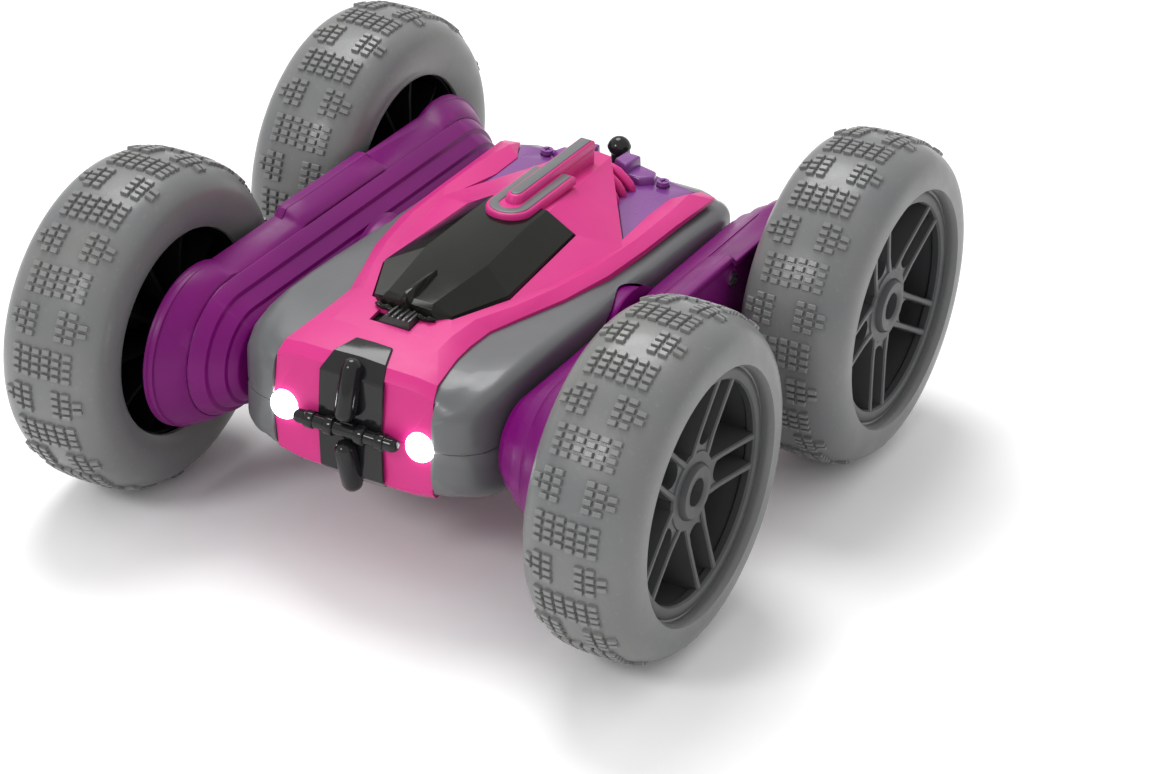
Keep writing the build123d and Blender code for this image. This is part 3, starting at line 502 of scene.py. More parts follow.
def tread_block(form, offset, angle):
    """Small raised block whose sides draw in towards its top."""
    half_across, half_round = 0.84, 0.54
    slope = (carcass_radius(offset + 0.1) - carcass_radius(offset - 0.1)) / 0.2
    lean = Vector((-slope, 1)).normalized()
    rings = []
    for lift, shrink in ((-0.35, 1.0), (0.35, 0.97), (BLOCK_HEIGHT - 0.08, 0.92), (BLOCK_HEIGHT, 0.78)):
        ring = []
        for across, along in ((-1, -1), (1, -1), (1, 1), (-1, 1)):
            place = offset + across * half_across * shrink
            radius = carcass_radius(place) + lift * lean.y
            turn = angle + along * half_round * shrink / TYRE_RADIUS
            x = WHEEL_X + place + lift * lean.x
            ring.append((x, AXLE_Y + radius * math.cos(turn), radius * math.sin(turn)))
        rings.append(ring)
    form.solid(rings)


# offset of each column of blocks, and the rows of it that are there
TREAD_MIDDLE = -0.6
FULL_COLUMNS = tuple((TREAD_MIDDLE + offset, range(ROWS))
                     for offset in (-5.6, -3.36, -1.12, 1.12, 3.36, 5.6))
SPLIT_COLUMNS = tuple((TREAD_MIDDLE + offset, (1, 2) if abs(offset) > 7 else range(ROWS))
                      for offset in (-7.5, -5.4, -3.2, 3.2, 5.4, 7.5))


def tyre_form():
    form = Form()
    turned(form, [(WHEEL_X + offset, radius) for offset, radius in tyre_profile()], AXLE_Y, TYRE_STEPS)
    for group in range(TREAD_GROUPS):
        for offset, rows in (SPLIT_COLUMNS if group % 2 else FULL_COLUMNS):
            for row in rows:
                pitch = ROW_PITCHES * group + row + (0.2 if offset > 0 else 0.0)
                tread_block(form, offset, 2 * math.pi * pitch / (ROW_PITCHES * TREAD_GROUPS))
    form.orient((WHEEL_X, AXLE_Y, 0))
    return form


SPOKE_PAIRS = 5
SPOKE_OFFSET = 3.1
SPOKE_START = math.radians(67)
SPOKE_HUB_RADIUS = 6.4
SPOKE_RIM_RADIUS = 22.9


def rim_point(x_offset, radial, sideways, angle):
    """Point of the rim given along and beside one spoke direction."""
    y = radial * math.cos(angle) - sideways * math.sin(angle)
    height = radial * math.sin(angle) + sideways * math.cos(angle)
    return (WHEEL_X + x_offset, AXLE_Y + y, height)


def spoke(form, angle, side):
    """One thin spoke: flat sides and a ridged face, dipping a little towards the hub."""
    rings = []
    for radial, face, half in ((SPOKE_HUB_RADIUS, 7.6, 0.74), (11, 7.9, 0.62), (17, 8.6, 0.6),
                               (SPOKE_RIM_RADIUS, 9.35, 0.75)):
        middle = side * SPOKE_OFFSET
        section = [(1.9, -half - 0.1), (face - 0.3, -half), (face, 0.25 - half), (face, half - 0.25),
                   (face - 0.3, half), (1.9, half + 0.1)]
        rings.append([rim_point(depth, radial, middle + across, angle) for depth, across in section])
    form.solid(rings)


def spoke_web(form, angle):
    """Plate that joins a pair of spokes at the hub, with a round end to the slot between them."""
    notch = SPOKE_OFFSET - 0.6
    centre = 11.2
    outline = [(SPOKE_HUB_RADIUS - 0.8, -SPOKE_OFFSET), (centre, -SPOKE_OFFSET)]
    outline += [(centre - math.sin(turn) * notch, -math.cos(turn) * notch)
                for turn in (math.pi * step / 12 for step in range(13))]
    outline += [(centre, SPOKE_OFFSET), (SPOKE_HUB_RADIUS - 0.8, SPOKE_OFFSET)]
    form.solid([[rim_point(depth, radial, across, angle) for radial, across in outline]
                for depth in (1.9, 7.3)])


def rim_form():
    form = Form()
    ring = [(-8.4, 23.5), (-8.4, 22.4), (7.0, 22.2), (7.6, 21.6), (8.9, 21.5), (9.35, 21.8), (9.6, 22.6),
            (9.6, 23.4), (9.4, 23.9), (9.05, 24.05), (8.9, 24.0), (8.9, 23.5)]
    turned(form, [(WHEEL_X + x, radius) for x, radius in ring], AXLE_Y, 96)
    hub = [(2.2, 2.75), (2.2, 7.7), (7.2, 7.9), (7.6, 7.6), (7.7, 5.7), (8.4, 5.4), (8.75, 5.0), (8.8, 4.3),
           (8.7, 3.2), (8.4, 2.75)]
    turned(form, [(WHEEL_X + x, radius) for x, radius in hub], AXLE_Y, 64)
    for pair in range(SPOKE_PAIRS):
        angle = SPOKE_START + 2 * math.pi * pair / SPOKE_PAIRS
        spoke(form, angle, -1)
        spoke(form, angle, 1)
        spoke_web(form, angle)
    form.orient((WHEEL_X, AXLE_Y, 0))
    return form


DISH_FINS = 10


def hub_form():
    """Black dish behind the spokes, with curved fins towards the arm; its colour is darker than black
    plastic, as painted shade inside the wheel.
    """
    form = Form()
    dish = [(-12.7, 1.55), (-12.7, 3.2), (-12.4, 3.6), (-2.4, 4.8), (-1.0, 6.0), (-0.2, 20.7), (-8.6, 20.9),
            (-8.8, 21.2), (-8.8, 22.1), (-8.6, 22.2), (1.2, 22.2), (1.4, 22.0), (1.0, 19.0), (0.8, 8.0),
            (2.0, 5.2), (4.6, 4.8), (4.8, 4.6), (4.8, 1.55)]
    turned(form, [(WHEEL_X + x, radius) for x, radius in dish], AXLE_Y, 72)
    for fin in range(DISH_FINS):
        angle = 2 * math.pi * fin / DISH_FINS
        rings = []
        for radial, depth, bend in ((3.4, -9.6, 0.0), (9.0, -8.0, 0.5), (15.0, -6.6, 0.5), (21.2, -6.0, 0.0)):
            section = [(depth, -0.45), (depth, 0.45), (0.2, 0.6), (0.2, -0.6)]
            rings.append([rim_point(x, radial, bend + across, angle) for x, across in section])
        form.solid(rings)
    form.orient((WHEEL_X, AXLE_Y, 0))
    return form


tyre = tyre_form()
rim = rim_form()
hub = hub_form()
for side_name, side in SIDES.items():
    for end_name, end in ENDS.items():
        corner = f"{end_name}_{side_name}"
        body = f"{corner}_wheel"
        flips = (side, end, 1)
        piece(tyre, f"{corner}_tyre_skin", body, [f"{corner}_tyre"], RUBBER, flips, angle=32)
        piece(rim, f"{corner}_rim_skin", body, [f"{corner}_rim"], RIM_GREY, flips, angle=32)
        piece(hub, f"{corner}_dish", body, [f"{corner}_wheel_hub"], DISH_BLACK_AND_SHADE, flips, angle=32)


# ---- swing arm
ARM_SPLIT_X = 36.8
PIVOT_BORE = 7.6
BUSH_HOLE = 3.05
BLOCK_Y = 14.5
ARC_STEPS = 26
# x, reach of the round ends past the axles, their radius and, outside, heights of dip and block
INNER_SECTIONS = ((28.8, 0.0, 8.1), (29.1, 0.0, 8.6), (30.6, 0.0, 9.5), (30.8, 0.0, 10.3), (33.6, 0.0, 11.7),
                  (33.8, 0.0, 12.6), (36.5, 0.0, 14.05), (36.78, 0.0, 14.15))
OUTER_SECTIONS = ((36.8, 0.0, 14.25, 13.95, 14.3), (37.05, 0.1, 14.8, 14.15, 14.9),
                  (38.6, 0.9, 15.6, 14.7, 15.8), (40.6, 1.9, 16.3, 15.1, 16.5),
                  (42.4, 2.6, 16.75, 15.4, 16.95), (43.15, 2.75, 16.8, 15.45, 17.0),
                  (43.4, 2.75, 16.6, 15.2, 16.8), (43.4, 2.75, 15.8, 14.4, 16.0),
                  (43.2, 2.75, 15.6, 14.2, 15.8), (42.5, 2.75, 15.5, 14.1, 15.7))


def arm_section(x, reach, end_radius, dip, block_half):
    """Ring round the arm: round ends, a dip beside each and a raised block in the middle."""
    centre = reach - AXLE_Y
    start = math.pi - math.asin(min(1.0, dip / end_radius))
    quarter = [(BLOCK_Y * 0.5, block_half), (BLOCK_Y, block_half), (BLOCK_Y + 0.9, (dip + block_half) / 2),
               (BLOCK_Y + 1.8, dip)]
    for step in range(ARC_STEPS + 1):
        angle = start * (1 - step / ARC_STEPS)
        quarter.append((centre + end_radius * math.cos(angle), end_radius * math.sin(angle)))
    ring = [(x, y, height) for y, height in quarter]
    ring += [(x, y, -height) for y, height in reversed(quarter[:-1])]
    ring += [(x, -y, -height) for y, height in quarter]
    ring += [(x, -y, height) for y, height in reversed(quarter[:-1])]
    return ring


def arm_inner_form():
    form = Form()
    rings = [arm_section(x, reach, radius, radius, radius) for x, reach, radius in INNER_SECTIONS]
    form.loft(rings, caps=(True, False))
    form.orient((ARM_SPLIT_X, 0, 0))
    return form


def arm_outer_form():
    form = Form()
    rings = [arm_section(*section) for section in OUTER_SECTIONS]
    form.loft(rings, caps=(False, True))
    form.orient((ARM_SPLIT_X, 0, 0))
    return form


def pivot_form():
    """Hollow pivot and the round boss that closes the body's notch."""
    form = Form()
    profile = [(17.3, PIVOT_BORE), (17.3, 10.2), (17.5, 10.4), (18.6, 10.4), (18.8, 10.2), (18.8, 9.4),
               (24.3, 9.4), (24.3, 11.0), (24.7, 11.4), (28.3, 11.4), (28.9, 11.6), (29.3, 12.0),
               (29.4, PIVOT_BORE)]
    turned(form, profile, 0.0, 72)
    form.orient()
    return form


def collar_form():
    """Round collars that hold the axle bushes in the outer face."""
    form = Form()
    profile = [(42.0, BUSH_HOLE), (42.0, 4.9), (43.9, 4.6), (44.2, 4.4), (44.2, BUSH_HOLE)]
    turned(form, profile, AXLE_Y)
    turned(form, profile, -AXLE_Y)
    form.orient()
    return form


def screw_wells():
    form = Form()
    profile = [(41.6, 1.55), (41.6, 2.2), (42.5, 2.2), (42.7, 2.0), (42.7, 1.55)]
    for y in (-16.0, 16.0):
        for height in (-11.2, 11.2):
            turned(form, profile, y, 24, height)
    form.orient()
    return form


def joined(name, objects):
    """One object from several."""
    with bpy.context.temp_override(active_object=objects[0], object=objects[0], selected_objects=objects,
                                   selected_editable_objects=objects):
        bpy.ops.object.join()
    objects[0].name = name
    return objects[0]


inner, outer = arm_inner_form(), arm_outer_form()
pivot, collars, wells = pivot_form(), collar_form(), screw_wells()
for side_name, side in SIDES.items():
    flips = (side, 1, 1)
    body = f"{side_name}_arm"
    skin = to_object(placed(inner, flips), "skin")
    thicken(skin, 1.3)
    cut(skin, [round_cutter((20.0, 36.0), PIVOT_BORE, steps=64)], flips)
    shell = joined(f"{side_name}_arm_inner_skin", [skin, to_object(placed(pivot, flips), "pivot")])
    soften(shell, 0.18, angle=40)
    dress(shell, body, [f"{side_name}_arm_inner_shell"], [ARM_PURPLE])
    skin = to_object(placed(outer, flips), "skin")
    thicken(skin, 1.2)
    cut(skin, [round_cutter((40.0, 46.0), BUSH_HOLE, end * AXLE_Y, 40) for end in (FRONT, REAR)], flips)
    parts = [skin, to_object(placed(collars, flips), "collars"), to_object(placed(wells, flips), "wells")]
    shell = joined(f"{side_name}_arm_outer_skin", parts)
    soften(shell, 0.18, angle=40)
    dress(shell, body, [f"{side_name}_arm_outer_shell"], [ARM_PURPLE])


# ---- chassis shells
# stations from front to rear: y, half width, outer edge height, crown height, corner radius
POD_STATIONS = ((-55.5, 18.2, 6.2, 8.8, 1.6), (-54.9, 21.2, 7.6, 9.4, 2.6), (-53.6, 23.9, 9.0, 10.5, 3.4),
                (-51.0, 26.3, 10.5, 11.7, 4.0), (-47.0, 27.7, 11.8, 12.4, 4.0),
                (-42.0, 28.0, 12.8, 12.9, 3.6), (-36.0, 28.0, 13.3, 13.1, 3.2),
                (-28.0, 28.0, 13.2, 13.1, 2.9), (-19.0, 28.0, 12.9, 13.1, 2.8),
                (-9.0, 28.0, 12.4, 13.1, 2.8), (2.0, 28.0, 12.0, 13.0, 2.9), (12.0, 28.0, 11.7, 12.9, 3.0),
                (28.0, 28.0, 11.5, 12.8, 3.1), (40.0, 28.0, 11.2, 12.6, 3.2), (45.0, 27.6, 10.7, 12.1, 3.2),
                (47.4, 26.4, 9.9, 11.3, 3.0), (48.6, 24.4, 9.0, 10.4, 2.6), (49.0, 21.6, 8.0, 9.4, 1.8))
SKIN = 1.2


def pod_section(y, half, edge, crown, corner):
    """Half ring over the body from its right-hand lower edge to its left-hand one."""
    side = [(half - 0.35, 0.06), (half - 0.05, 0.5), (half, edge * 0.35), (half, edge - corner)]
    for step in range(1, 7):
        angle = math.pi / 2 * step / 6
        side.append((half - corner + corner * math.cos(angle), edge - corner + corner * math.sin(angle)))
    inner_x = half - corner - 4.0
    side += [(inner_x + 2.0, crown - 0.35 * (crown - edge)), (inner_x, crown)]
    return [(x, y, height) for x, height in side] + [(-x, y, height) for x, height in reversed(side)]


def bearing_form():
    """Bearing half round each arm pivot."""
    form = Form()
    arch = [(-14.8, 0.06), (-14.8, 11.4), (14.8, 11.4), (14.8, 0.06)]
    arch += [(along, max(up, 0.06)) for along, up in circle(9.5, 33, 0.0, math.pi)]
    form.solid([[(x, y, height) for y, height in arch] for x in (19.0, 24.0)])
    form.both_sides()
    form.outward()
    return form


LAMP_X = 15.0
LAMP_HOLES = [along_cutter(side * LAMP_X, 3.1, (-60.0, -50.0)) for side in (RIGHT, LEFT)]
NOTCH_RADIUS = 11.9
SWITCH_SLOT = ((8.5, 16.5), (32.0, 36.0))


def bay_form():
    """Walls of the battery bay, which the open battery door shows."""
    form = Form()
    for x_range, y_range in (((-9.7, 9.7), (-33.7, -32.7)), ((8.7, 9.7), (-32.8, 8.0)),
                             ((-9.7, -8.7), (-32.8, 8.0))):
        block(form, x_range, y_range, (0.5, 11.9))
    form.outward()
    return form


pod = Form()
pod.loft([pod_section(*station) for station in POD_STATIONS], closed=False)
pod.orient()
bearings = bearing_form()
nose_wall = Form()
block(nose_wall, (-17.4, 17.4), (-54.0, -52.8), (0.06, 9.4))
nose_wall.outward()
for half_name, half in HALVES.items():
    flips = (1, 1, half)
    shell = to_object(placed(pod, flips), "shell")
    thicken(shell, SKIN)
    cutters = [round_cutter((24.0, 32.0), NOTCH_RADIUS), round_cutter((-32.0, -24.0), NOTCH_RADIUS),
               box_cutter((-17.5, 17.5), (-60.0, -54.0), (-1.0, 20.0))] + LAMP_HOLES
    if half == LOWER:
        cutters += [box_cutter((-8.5, 8.5), (-32.0, 7.0), (8.0, 20.0)), box_cutter(*SWITCH_SLOT, (8.0, 20.0))]
    cut(shell, cutters, flips)
    wall = to_object(placed(nose_wall, flips), "wall")
    cut(wall, LAMP_HOLES, flips)
    parts = [shell, wall, to_object(placed(bearings, flips), "bearings")]
    if half == LOWER:
        parts.append(to_object(placed(bay_form(), flips), "bay"))
    whole = joined(f"{half_name}_chassis_skin", parts)
    soften(whole, 0.22, angle=38)
    dress(whole, "chassis", [f"{half_name}_chassis_shell"], [BODY_GREY])


# ---- pink covers
def cover_form():
    """Right half of the faceted pink cover, from the front apron to the band ends."""
    form = Form()
    apron_foot = [(0, -55.5, 0.08), (17.4, -55.5, 0.08)]
    crease = [(0, -54.5, 11.2), (12.8, -54.4, 11.0), (17.2, -54.2, 10.2)]
    brow = [(0, -52.4, 12.9), (12.4, -52.3, 12.8), (16.7, -52.1, 12.2)]
    hood = [(0, -44.0, 14.2), (11.6, -43.6, 14.1), (15.6, -43.4, 13.3)]
    peak = [(0, -39.4, 14.9), (11.6, -38.8, 14.8), (15.4, -38.4, 13.6)]
    sill_front = [(0, -35.2, 15.4), (8.9, -34.2, 15.4)]
    form.face(apron_foot[0], apron_foot[1], crease[2], crease[1], crease[0])
    for near, far in zip((crease, brow, hood), (brow, hood, peak)):
        for inner in (0, 1):
            form.face(near[inner], near[inner + 1], far[inner + 1], far[inner])
    form.face(peak[0], peak[1], sill_front[1], sill_front[0])
    # outer edge, ridge and trough of the side band, from front to rear
    edge = [(15.6, -31.5, 13.6), (18.0, -23.6, 13.7), (21.4, -13.0, 13.8), (23.7, 0.0, 13.7),
            (24.4, 14.0, 13.5), (24.6, 26.5, 13.4), (25.1, 41.5, 13.1)]
    ridge = [(12.4, -31.3, 15.2), (15.9, -22.7, 15.2), (18.9, -12.5, 15.2), (21.2, 0.5, 15.1),
             (22.0, 15.0, 14.9), (22.0, 27.0, 14.9), (21.2, 38.6, 14.5)]
    sill_wide, sill_rear = (14.3, -21.7, 15.6), (12.6, 6.9, 16.5)
    trough = [sill_wide, (16.7, -12.6, 14.7), (18.7, -0.4, 14.3), (20.8, 10.8, 14.45), (19.3, 13.6, 14.4),
              (17.7, 27.0, 13.4), (17.9, 36.4, 13.4), (19.4, 39.0, 13.3), (21.4, 43.4, 13.0)]
    band_tip = (24.8, 43.0, 12.8)
    form.face(peak[1], peak[2], edge[0], ridge[0])
    form.face(peak[1], ridge[0], sill_front[1])
    form.face(sill_front[1], ridge[0], ridge[1], sill_wide)
    for index in range(6):
        form.face(ridge[index], edge[index], edge[index + 1], ridge[index + 1])
    for index in (1, 2, 3):
        form.face(trough[index - 1], ridge[index], ridge[index + 1], trough[index])
    form.face(trough[3], ridge[4], trough[4])
    form.face(trough[4], ridge[4], ridge[5], trough[5])
    form.face(trough[5], ridge[5], ridge[6], trough[6])
    form.face(trough[6], ridge[6], trough[7])
    form.face(trough[7], ridge[6], trough[8])
    form.face(ridge[6], edge[6], band_tip, trough[8])
    ridge_front, ridge_back = (6.4, 6.2, 20.1), (2.9, 38.5, 18.2)
    form.face(sill_wide, trough[1], trough[2], sill_rear)
    form.face(sill_rear, trough[2], trough[3])
    form.face(sill_rear, trough[3], trough[4], ridge_back, ridge_front)
    form.face((0, 6.2, 20.2), ridge_front, ridge_back, (0, 38.8, 18.3))
    wall_foot = [(19.1, 14.2, 12.7), (2.9, 39.3, 12.7), (0, 39.6, 12.7)]
    form.face(trough[4], wall_foot[0], wall_foot[1], ridge_back)
    form.face(ridge_back, wall_foot[1], wall_foot[2], (0, 38.8, 18.3))
    rim = [crease[2], brow[2], hood[2], peak[2]] + edge + [band_tip] + trough[:4:-1]
    for near, far in zip(rim, rim[1:]):
        lower_near = (near[0], near[1], min(near[2] - 0.4, 12.3))
        lower_far = (far[0], far[1], min(far[2] - 0.4, 12.3))
        if near is crease[2]:
            lower_near, lower_far = (17.3, -54.2, 9.5), (16.5, -51.6, 11.6)
        if near is brow[2]:
            lower_near = (16.5, -51.6, 11.6)
        form.face(near, far, lower_far, lower_near)
    form.both_sides()
    form.orient((0, -10, 0))
    return form


cover = cover_form()
for half_name, half in HALVES.items():
    flips = (1, 1, half)
    skin = to_object(placed(cover, flips), f"{half_name}_cover_skin")
    thicken(skin, 0.8)
    cut(skin, LAMP_HOLES + [box_cutter((-5.2, 3.7), (-41.0, -37.2), (13.3, 18.0))], flips)
    soften(skin, 0.45, segments=3, angle=14)
    dress(skin, "chassis", [f"{half_name}_hood_cover"], [BODY_PINK])


# ---- canopies
def canopy_form():
    form = Form()
    foot = [(0, -36.6, 14.7), (6.2, -36.2, 14.6), (8.8, -33.9, 15.0), (14.1, -21.7, 15.6), (12.4, 6.8, 16.2)]
    waist = [(0, -36.2, 17.6), (5.4, -35.8, 17.2), (8.6, -33.7, 15.8), (13.8, -21.7, 16.3), (12.2, 6.6, 16.9)]
    ridge = [(0, -35.0, 18.1), (5.0, -34.6, 17.9), (7.0, -18.0, 19.3), (6.3, -2.0, 20.4), (6.2, 6.3, 20.5)]
    crown = [(0, -35.0, 18.1), (0, -18.0, 19.5), (0, -2.0, 20.7), (0, 6.3, 20.8)]
    for index in range(4):
        form.face(foot[index], foot[index + 1], waist[index + 1], waist[index])
    form.face(waist[0], waist[1], ridge[1], ridge[0])
    form.face(waist[1], waist[2], ridge[1])
    form.face(waist[2], waist[3], ridge[2], ridge[1])
    form.face(waist[3], (13.0, -8.0, 16.6), ridge[3], ridge[2])
    form.face((13.0, -8.0, 16.6), waist[4], ridge[4], ridge[3])
    form.face(waist[3], foot[3], foot[4], waist[4], (13.0, -8.0, 16.6))
    form.face(ridge[0], ridge[1], ridge[2], crown[1])
    form.face(crown[1], ridge[2], ridge[3], crown[2])
    form.face(crown[2], ridge[3], ridge[4], crown[3])
    form.face(foot[4], waist[4], ridge[4], crown[3], (0, 6.6, 16.2))
    form.both_sides()
    form.orient((0, -14, 10))
    return form


def wiper_form():
    """Upright fin on the canopy's nose and the rolled lip below it."""
    form = Form()
    fin = ((-37.2, 1.5, 15.0, 0.5, 18.9), (-36.2, 1.7, 15.4, 0.45, 19.7), (-33.6, 1.6, 17.4, 0.4, 19.9),
           (-29.6, 0.9, 18.2, 0.3, 19.9), (-25.0, 0.12, 18.6, 0.08, 19.7))
    form.solid([[(-low_half, y, low), (low_half, y, low), (high_half, y, high), (-high_half, y, high)]
                for y, low_half, low, high_half, high in fin])
    lip = ((6.6, -36.3, 15.5), (5.6, -36.9, 15.9), (4.6, -36.9, 15.5), (3.6, -37.1, 15.9),
           (2.6, -37.1, 15.5), (1.4, -37.2, 15.7))
    for side in (LEFT, RIGHT):
        tube(form, [(side * x, y, height) for x, y, height in lip], [0.35, 0.6, 0.5, 0.62, 0.5, 0.5], 14)
    form.outward()
    return form


canopy = canopy_form()
wiper = wiper_form()
for half_name, half in HALVES.items():
    flips = (1, 1, half)
    body, node = ("chassis", "upper_canopy") if half == UPPER else ("battery_door", "battery_door")
    skin = to_object(placed(canopy, flips), "skin")
    thicken(skin, 0.9)
    soften(skin, 0.35, segments=3, angle=8)
    if half == UPPER:
        nose = to_object(placed(wiper), "nose")
        soften(nose, 0.08)
        skin = joined("nosed_canopy", [skin, nose])
    skin.name = f"{half_name}_canopy_skin"
    dress(skin, body, [node], [CANOPY_SMOKE])


# ---- scoops
def slot_outline(half, front, rear, steps=14):
    """Outline with a round front end and a square rear end."""
    outline = [(half * math.cos(angle), front + half + half * math.sin(angle))
               for angle in (math.pi + math.pi * step / steps for step in range(steps + 1))]
    return outline + [(half, rear), (-half, rear)]


def scoop_pad():
    form = Form()
    rings = []
    for height, inset in ((20.0, 0.0), (21.3, 0.0), (21.75, 0.25), (21.9, 0.8)):
        outline = slot_outline(4.9 - inset, -2.4 + inset, 20.2 - inset)
        rings.append([(x, y, height) for x, y in outline])
    form.solid(rings)
    rings = []
    for height, front, rear, half in ((21.6, 2.2, 33.6, 1.95), (23.2, 2.8, 33.5, 1.7),
                                      (23.5, 3.2, 33.3, 1.4)):
        rings.append([(x, y, height) for x, y in slot_outline(half, front, rear)])
    form.solid(rings)
    form.solid([[(x, y, height) for x, y in slot_outline(1.7, 15.0, 33.5)] for height in (17.8, 21.7)])
    form.outward()
    return form


def scoop_inlay():
    """Grey strip in a U round the spine, and the strip on the spine's back."""
    form = Form()
    outer, inner, centre, end, height = 4.2, 2.3, 2.55, 19.5, 22.05
    steps = 20
    bow = [(math.cos(angle), math.sin(angle))
           for angle in (math.pi + math.pi * step / steps for step in range(steps + 1))]
    for near, far in zip(bow, bow[1:]):
        quad = [(outer, near), (outer, far), (inner, far), (inner, near)]
        form.face(*[(radius * along, centre + radius * up, height) for radius, (along, up) in quad])
    for side in (-1, 1):
        leg = [(outer, centre), (outer, end), (inner, end), (inner, centre)]
        form.face(*[(side * x, y, height) for x, y in leg])
    form.face(*[(x, y, 23.7) for x, y in slot_outline(1.15, 3.7, 33.0)])
    for face in form.mesh.faces:
        face.normal_update()
        if face.normal.z < 0:
            face.normal_flip()
    return form


pad = scoop_pad()
inlay = scoop_inlay()
for half_name, half in HALVES.items():
    flips = (1, 1, half)
    body = "chassis" if half == UPPER else "battery_door"
    piece(pad, f"{half_name}_scoop_skin", body, [f"{half_name}_scoop"], BODY_PINK, flips,
          edge=0.25, angle=40)
    strip = to_object(placed(inlay, flips), f"{half_name}_scoop_inlay")
    thicken(strip, 0.3)
    soften(strip, 0.1, angle=40)
    dress(strip, body, [], [BODY_GREY])


# ---- rear decks
def deck_form():
    form = Form()
    rings = []
    for height, inset in ((12.42, 0.0), (13.0, 0.0), (13.2, 0.2)):
        outline = [(2.9 + inset, 39.9 + inset), (18.9 - inset, 15.0 + 2 * inset), (18.4 - inset, 36.6),
                   (20.6 - inset, 42.5 - inset), (9.7, 45.0 - inset), (0.0, 45.0 - inset),
                   (0.0, 40.2 + inset)]
        rings.append([(x, y, height) for x, y in outline])
    form.solid(rings)
    tall = [(2.6, 40.4), (6.2, 38.7), (6.8, 44.6), (3.0, 44.9)]
    low = [(5.6, 38.8), (9.5, 38.6), (12.0, 40.8), (11.1, 43.5), (5.8, 44.9)]
    for outline, top in ((tall, 16.9), (low, 14.9)):
        middle_x = sum(x for x, y in outline) / len(outline)
        middle_y = sum(y for x, y in outline) / len(outline)
        rings = []
        for height, scale in ((13.0, 1.0), (top - 0.4, 0.94), (top, 0.82)):
            rings.append([(middle_x + scale * (x - middle_x), middle_y + scale * (y - middle_y), height)
                          for x, y in outline])
        form.solid(rings)
    form.both_sides()
    form.outward()
    return form


def rib_form():
    """Three round ribs on each side, that run out from under the roof down to the deck."""
    form = Form()
    for index, end_x in enumerate((9.3, 8.9, 9.0)):
        y = 36.1 - 3.2 * index
        path = [(2.6, y + 0.2, 16.9), (4.2, y + 0.1, 16.9), (5.8, y, 16.4), (7.4, y, 15.3),
                (end_x - 0.6, y, 14.2), (end_x, y, 13.4), (end_x + 0.1, y, 12.8)]
        tube(form, path, [0.95, 1.05, 1.1, 1.05, 1.0, 0.85, 0.6], 20)
    block(form, (2.6, 7.4), (28.6, 37.6), (12.8, 14.4), 0.6)
    form.both_sides()
    form.outward()
    return form


deck = deck_form()
ribs = rib_form()
for half_name, half in HALVES.items():
    flips = (1, 1, half)
    plate = to_object(placed(deck, flips), f"{half_name}_deck_skin")
    cutters = [Form(), Form()]
    for cutter, x in zip(cutters, (13.7, -13.7)):
        cutter.solid([[(x + across, 41.3 + along, height) for across, along in circle(1.4, 32)]
                      for height in (11.0, 15.0)])
        cutter.orient((x, 41.3, 13.0))
    if half == LOWER:
        cutters.append(box_cutter(*SWITCH_SLOT, (10.0, 16.0)))
    cut(plate, cutters, flips)
    soften(plate, 0.15, angle=38)
    dress(plate, "chassis", [f"{half_name}_rear_deck"], [DECK_PURPLE])
    piece(ribs, f"{half_name}_engine_ribs", "chassis", [], BODY_PINK, flips, angle=60)


# ---- hood vents
def vent_form(back):
    """Ribbed black block in a notch of the hood, in front of the canopy's nose."""
    form = Form()
    form.solid([[(-3.5, -40.8, 13.3), (3.5, -40.8, 13.3), (3.5, back, 13.3), (-3.5, back, 13.3)],
                [(-3.5, -40.8, 14.6), (3.5, -40.8, 14.6), (3.5, back, 15.0), (-3.5, back, 15.0)],
                [(-1.9, -40.5, 16.2), (3.3, -40.5, 16.2), (3.3, back, 16.5), (-1.9, back, 16.5)]])
    for index in range(4):
        x = -1.2 + 1.25 * index
        block(form, (x - 0.33, x + 0.33), (-40.6, back), (16.0, 16.9), 0.1)
    form.outward()
    return form


upper_vent = to_object(placed(vent_form(-37.0)), "upper_vent")
lower_vent = to_object(placed(vent_form(-39.5), (1, 1, LOWER)), "lower_vent")
vent_pair = joined("hood_vents_skin", [upper_vent, lower_vent])
soften(vent_pair, 0.12, angle=40)
dress(vent_pair, "chassis", ["hood_vents"], [VENT_BLACK])


# ---- bumpers
def shield_form():
    """Folded plate over the nose, above and below."""
    form = Form()
    for up in (1, -1):
        seam = [(0, -56.2, 0.0), (7.0, -56.2, 0.0)]
        crease = [(0, -55.5, 10.5 * up), (7.0, -55.5, 10.4 * up)]
        brow = [(0, -52.3, 13.5 * up), (5.8, -52.4, 13.3 * up)]
        top = [(0, -47.2, 14.2 * up), (4.0, -47.2, 14.1 * up)]
        for near, far in zip((seam, crease, brow), (crease, brow, top)):
            form.face(near[0], near[1], far[1], far[0])
    form.both_sides()
    form.orient((0, -40, 0))
    return form


